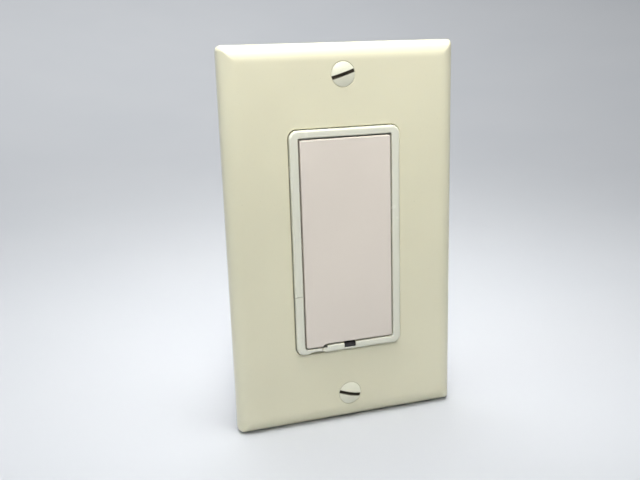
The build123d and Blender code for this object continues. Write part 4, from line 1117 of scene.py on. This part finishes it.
# %% Chip packages
def chip_package(name, cad_node, body_low, body_high, leg_zs, leg_half, leg_thick):
    """A tapered body between two corners, with legs out to the CAD node's sides. All in mm."""
    body_low = Vector(body_low) * MM
    body_high = Vector(body_high) * MM
    whole_low, whole_high, _ = middle_of(cad_node)
    middle = (body_low + body_high) / 2
    half = (body_high - body_low) / 2
    taper = 0.12 * MM
    loops = []
    for y, shrink in ((body_high.y, taper), (middle.y + 0.08 * MM, 0.0), (middle.y - 0.08 * MM, 0.0),
                      (body_low.y + 0.1 * MM, taper), (body_low.y, taper + 0.1 * MM)):
        loop = rounded_loop(half.x - shrink, half.z - shrink, 0.25 * MM, y, 3)
        loops.append([point + Vector((middle.x, 0, middle.z)) for point in loop])
    dimple = spun("dimple", [(0, 0.3), (0.42, 0.3), (0.36, -0.12), (0, -0.12)], 24,
                  (body_low.x + 1.1 * MM, body_low.y, body_high.z - 1.1 * MM))
    parts = [carve(loft(name, loops), dimple)]
    foot = whole_high.y - leg_thick * MM
    for side, edge, inner in ((1, whole_high.x, body_high.x), (-1, whole_low.x, body_low.x)):
        knee = inner + (edge - inner) * 0.45
        path = [(inner - side * 0.15 * MM, middle.y), (knee, middle.y), (knee + side * 0.12 * MM, foot),
                (edge, foot)]
        outline = path + [(x, y + leg_thick * MM) for x, y in path[::-1]]
        parts += [prism(outline, (z - leg_half) * MM, (z + leg_half) * MM) for z in leg_zs]
    finish = grained(name, srgb(34, 34, 36), srgb(48, 48, 50), 2400.0, 0.48, 4e-6)
    leg_mask = finish.step(abs(finish.axis("X") - middle.x), half.x + 0.02 * MM, half.x + 0.06 * MM)
    finish.set(Metallic=leg_mask, Base_Color=finish.mix(leg_mask, srgb(36, 36, 38), srgb(200, 201, 202)))
    piece(name, joined(name, parts), finish, "device", "black_epoxy", cad_node, sharp=30.0)


chip_package("controller_chip", "microcontroller", (-13, 4.6, 2), (-6, 5.8, 9),
             [3.0 + i * 1.25 for i in range(5)], 0.2, 0.18)
chip_package("opto_chip", "opto_coupler", (-11.5, 2.6, -8), (-5, 5.5, -1), (-7.0, -4.5, -2.0), 0.3, 0.25)

# %% [markdown]
# ## Finishes for the CAD pieces
# The remaining pieces keep their CAD meshes, so their fits and gaps stay exact. Each one
# takes the finish of its material. The bezel and the lever come from one mould, so they
# share a finish.

# %% Dress the CAD nodes
dress = (
    (bezel_finish, ("bezel_frame", "service_lever")),
    (paddle_finish, ("paddle",)),
    (smoked_finish, ("indicator_window",)),
    (pipe_finish, ("light_pipe",)),
    (led_finish, ("indicator_led",)),
    (zinc_finish, ("paddle_pivot_rod", "lever_pivot_pin", "triac_rivet", "terminal_clamps")),
    (spring_finish, ("paddle_return_spring", "air_gap_leaf")),
    (brass_finish, ("lever_contact_tip", "air_gap_contact", "terminal_plates")),
    (yoke_finish, ("heat_sink_yoke",)),
    (card_finish, ("screw_retainers", "insulating_sheet")),
    (housing_finish, ("rear_housing",)),
    (board_finish, ("circuit_board",)),
    (epoxy_finish, ("key_switch_bases", "triac")),
    (rubber_finish, ("triac_pad",)),
    (ferrite_finish, ("choke_core",)),
    # These are replaced by detailed pieces, and keep the right finish underneath.
    (plate_finish, ("wallplate",)),
    (screw_finish, ("wallplate_screws",)),
    (zinc_finish, ("box_screws", "housing_screws")),
    (green_finish, ("ground_screw",)),
    (brass_finish, ("terminal_screws",)),
    (copper_finish, ("choke_winding",)),
    (can_finish, ("supply_capacitor",)),
    (rubber_finish, ("key_domes",)),
    (chip_finish, ("resistors",)),
    (film_finish, ("film_capacitor",)),
    (varistor_finish, ("varistor",)),
    (fuse_finish, ("fuse",)),
    (epoxy_finish, ("microcontroller", "opto_coupler")),
)
dressed = set()
for finish, names in dress:
    for name in names:
        nodes[name].data.materials.clear()
        nodes[name].data.materials.append(finish.material)
        dressed.add(name)
print("not dressed:", [name for name in nodes if name not in dressed])
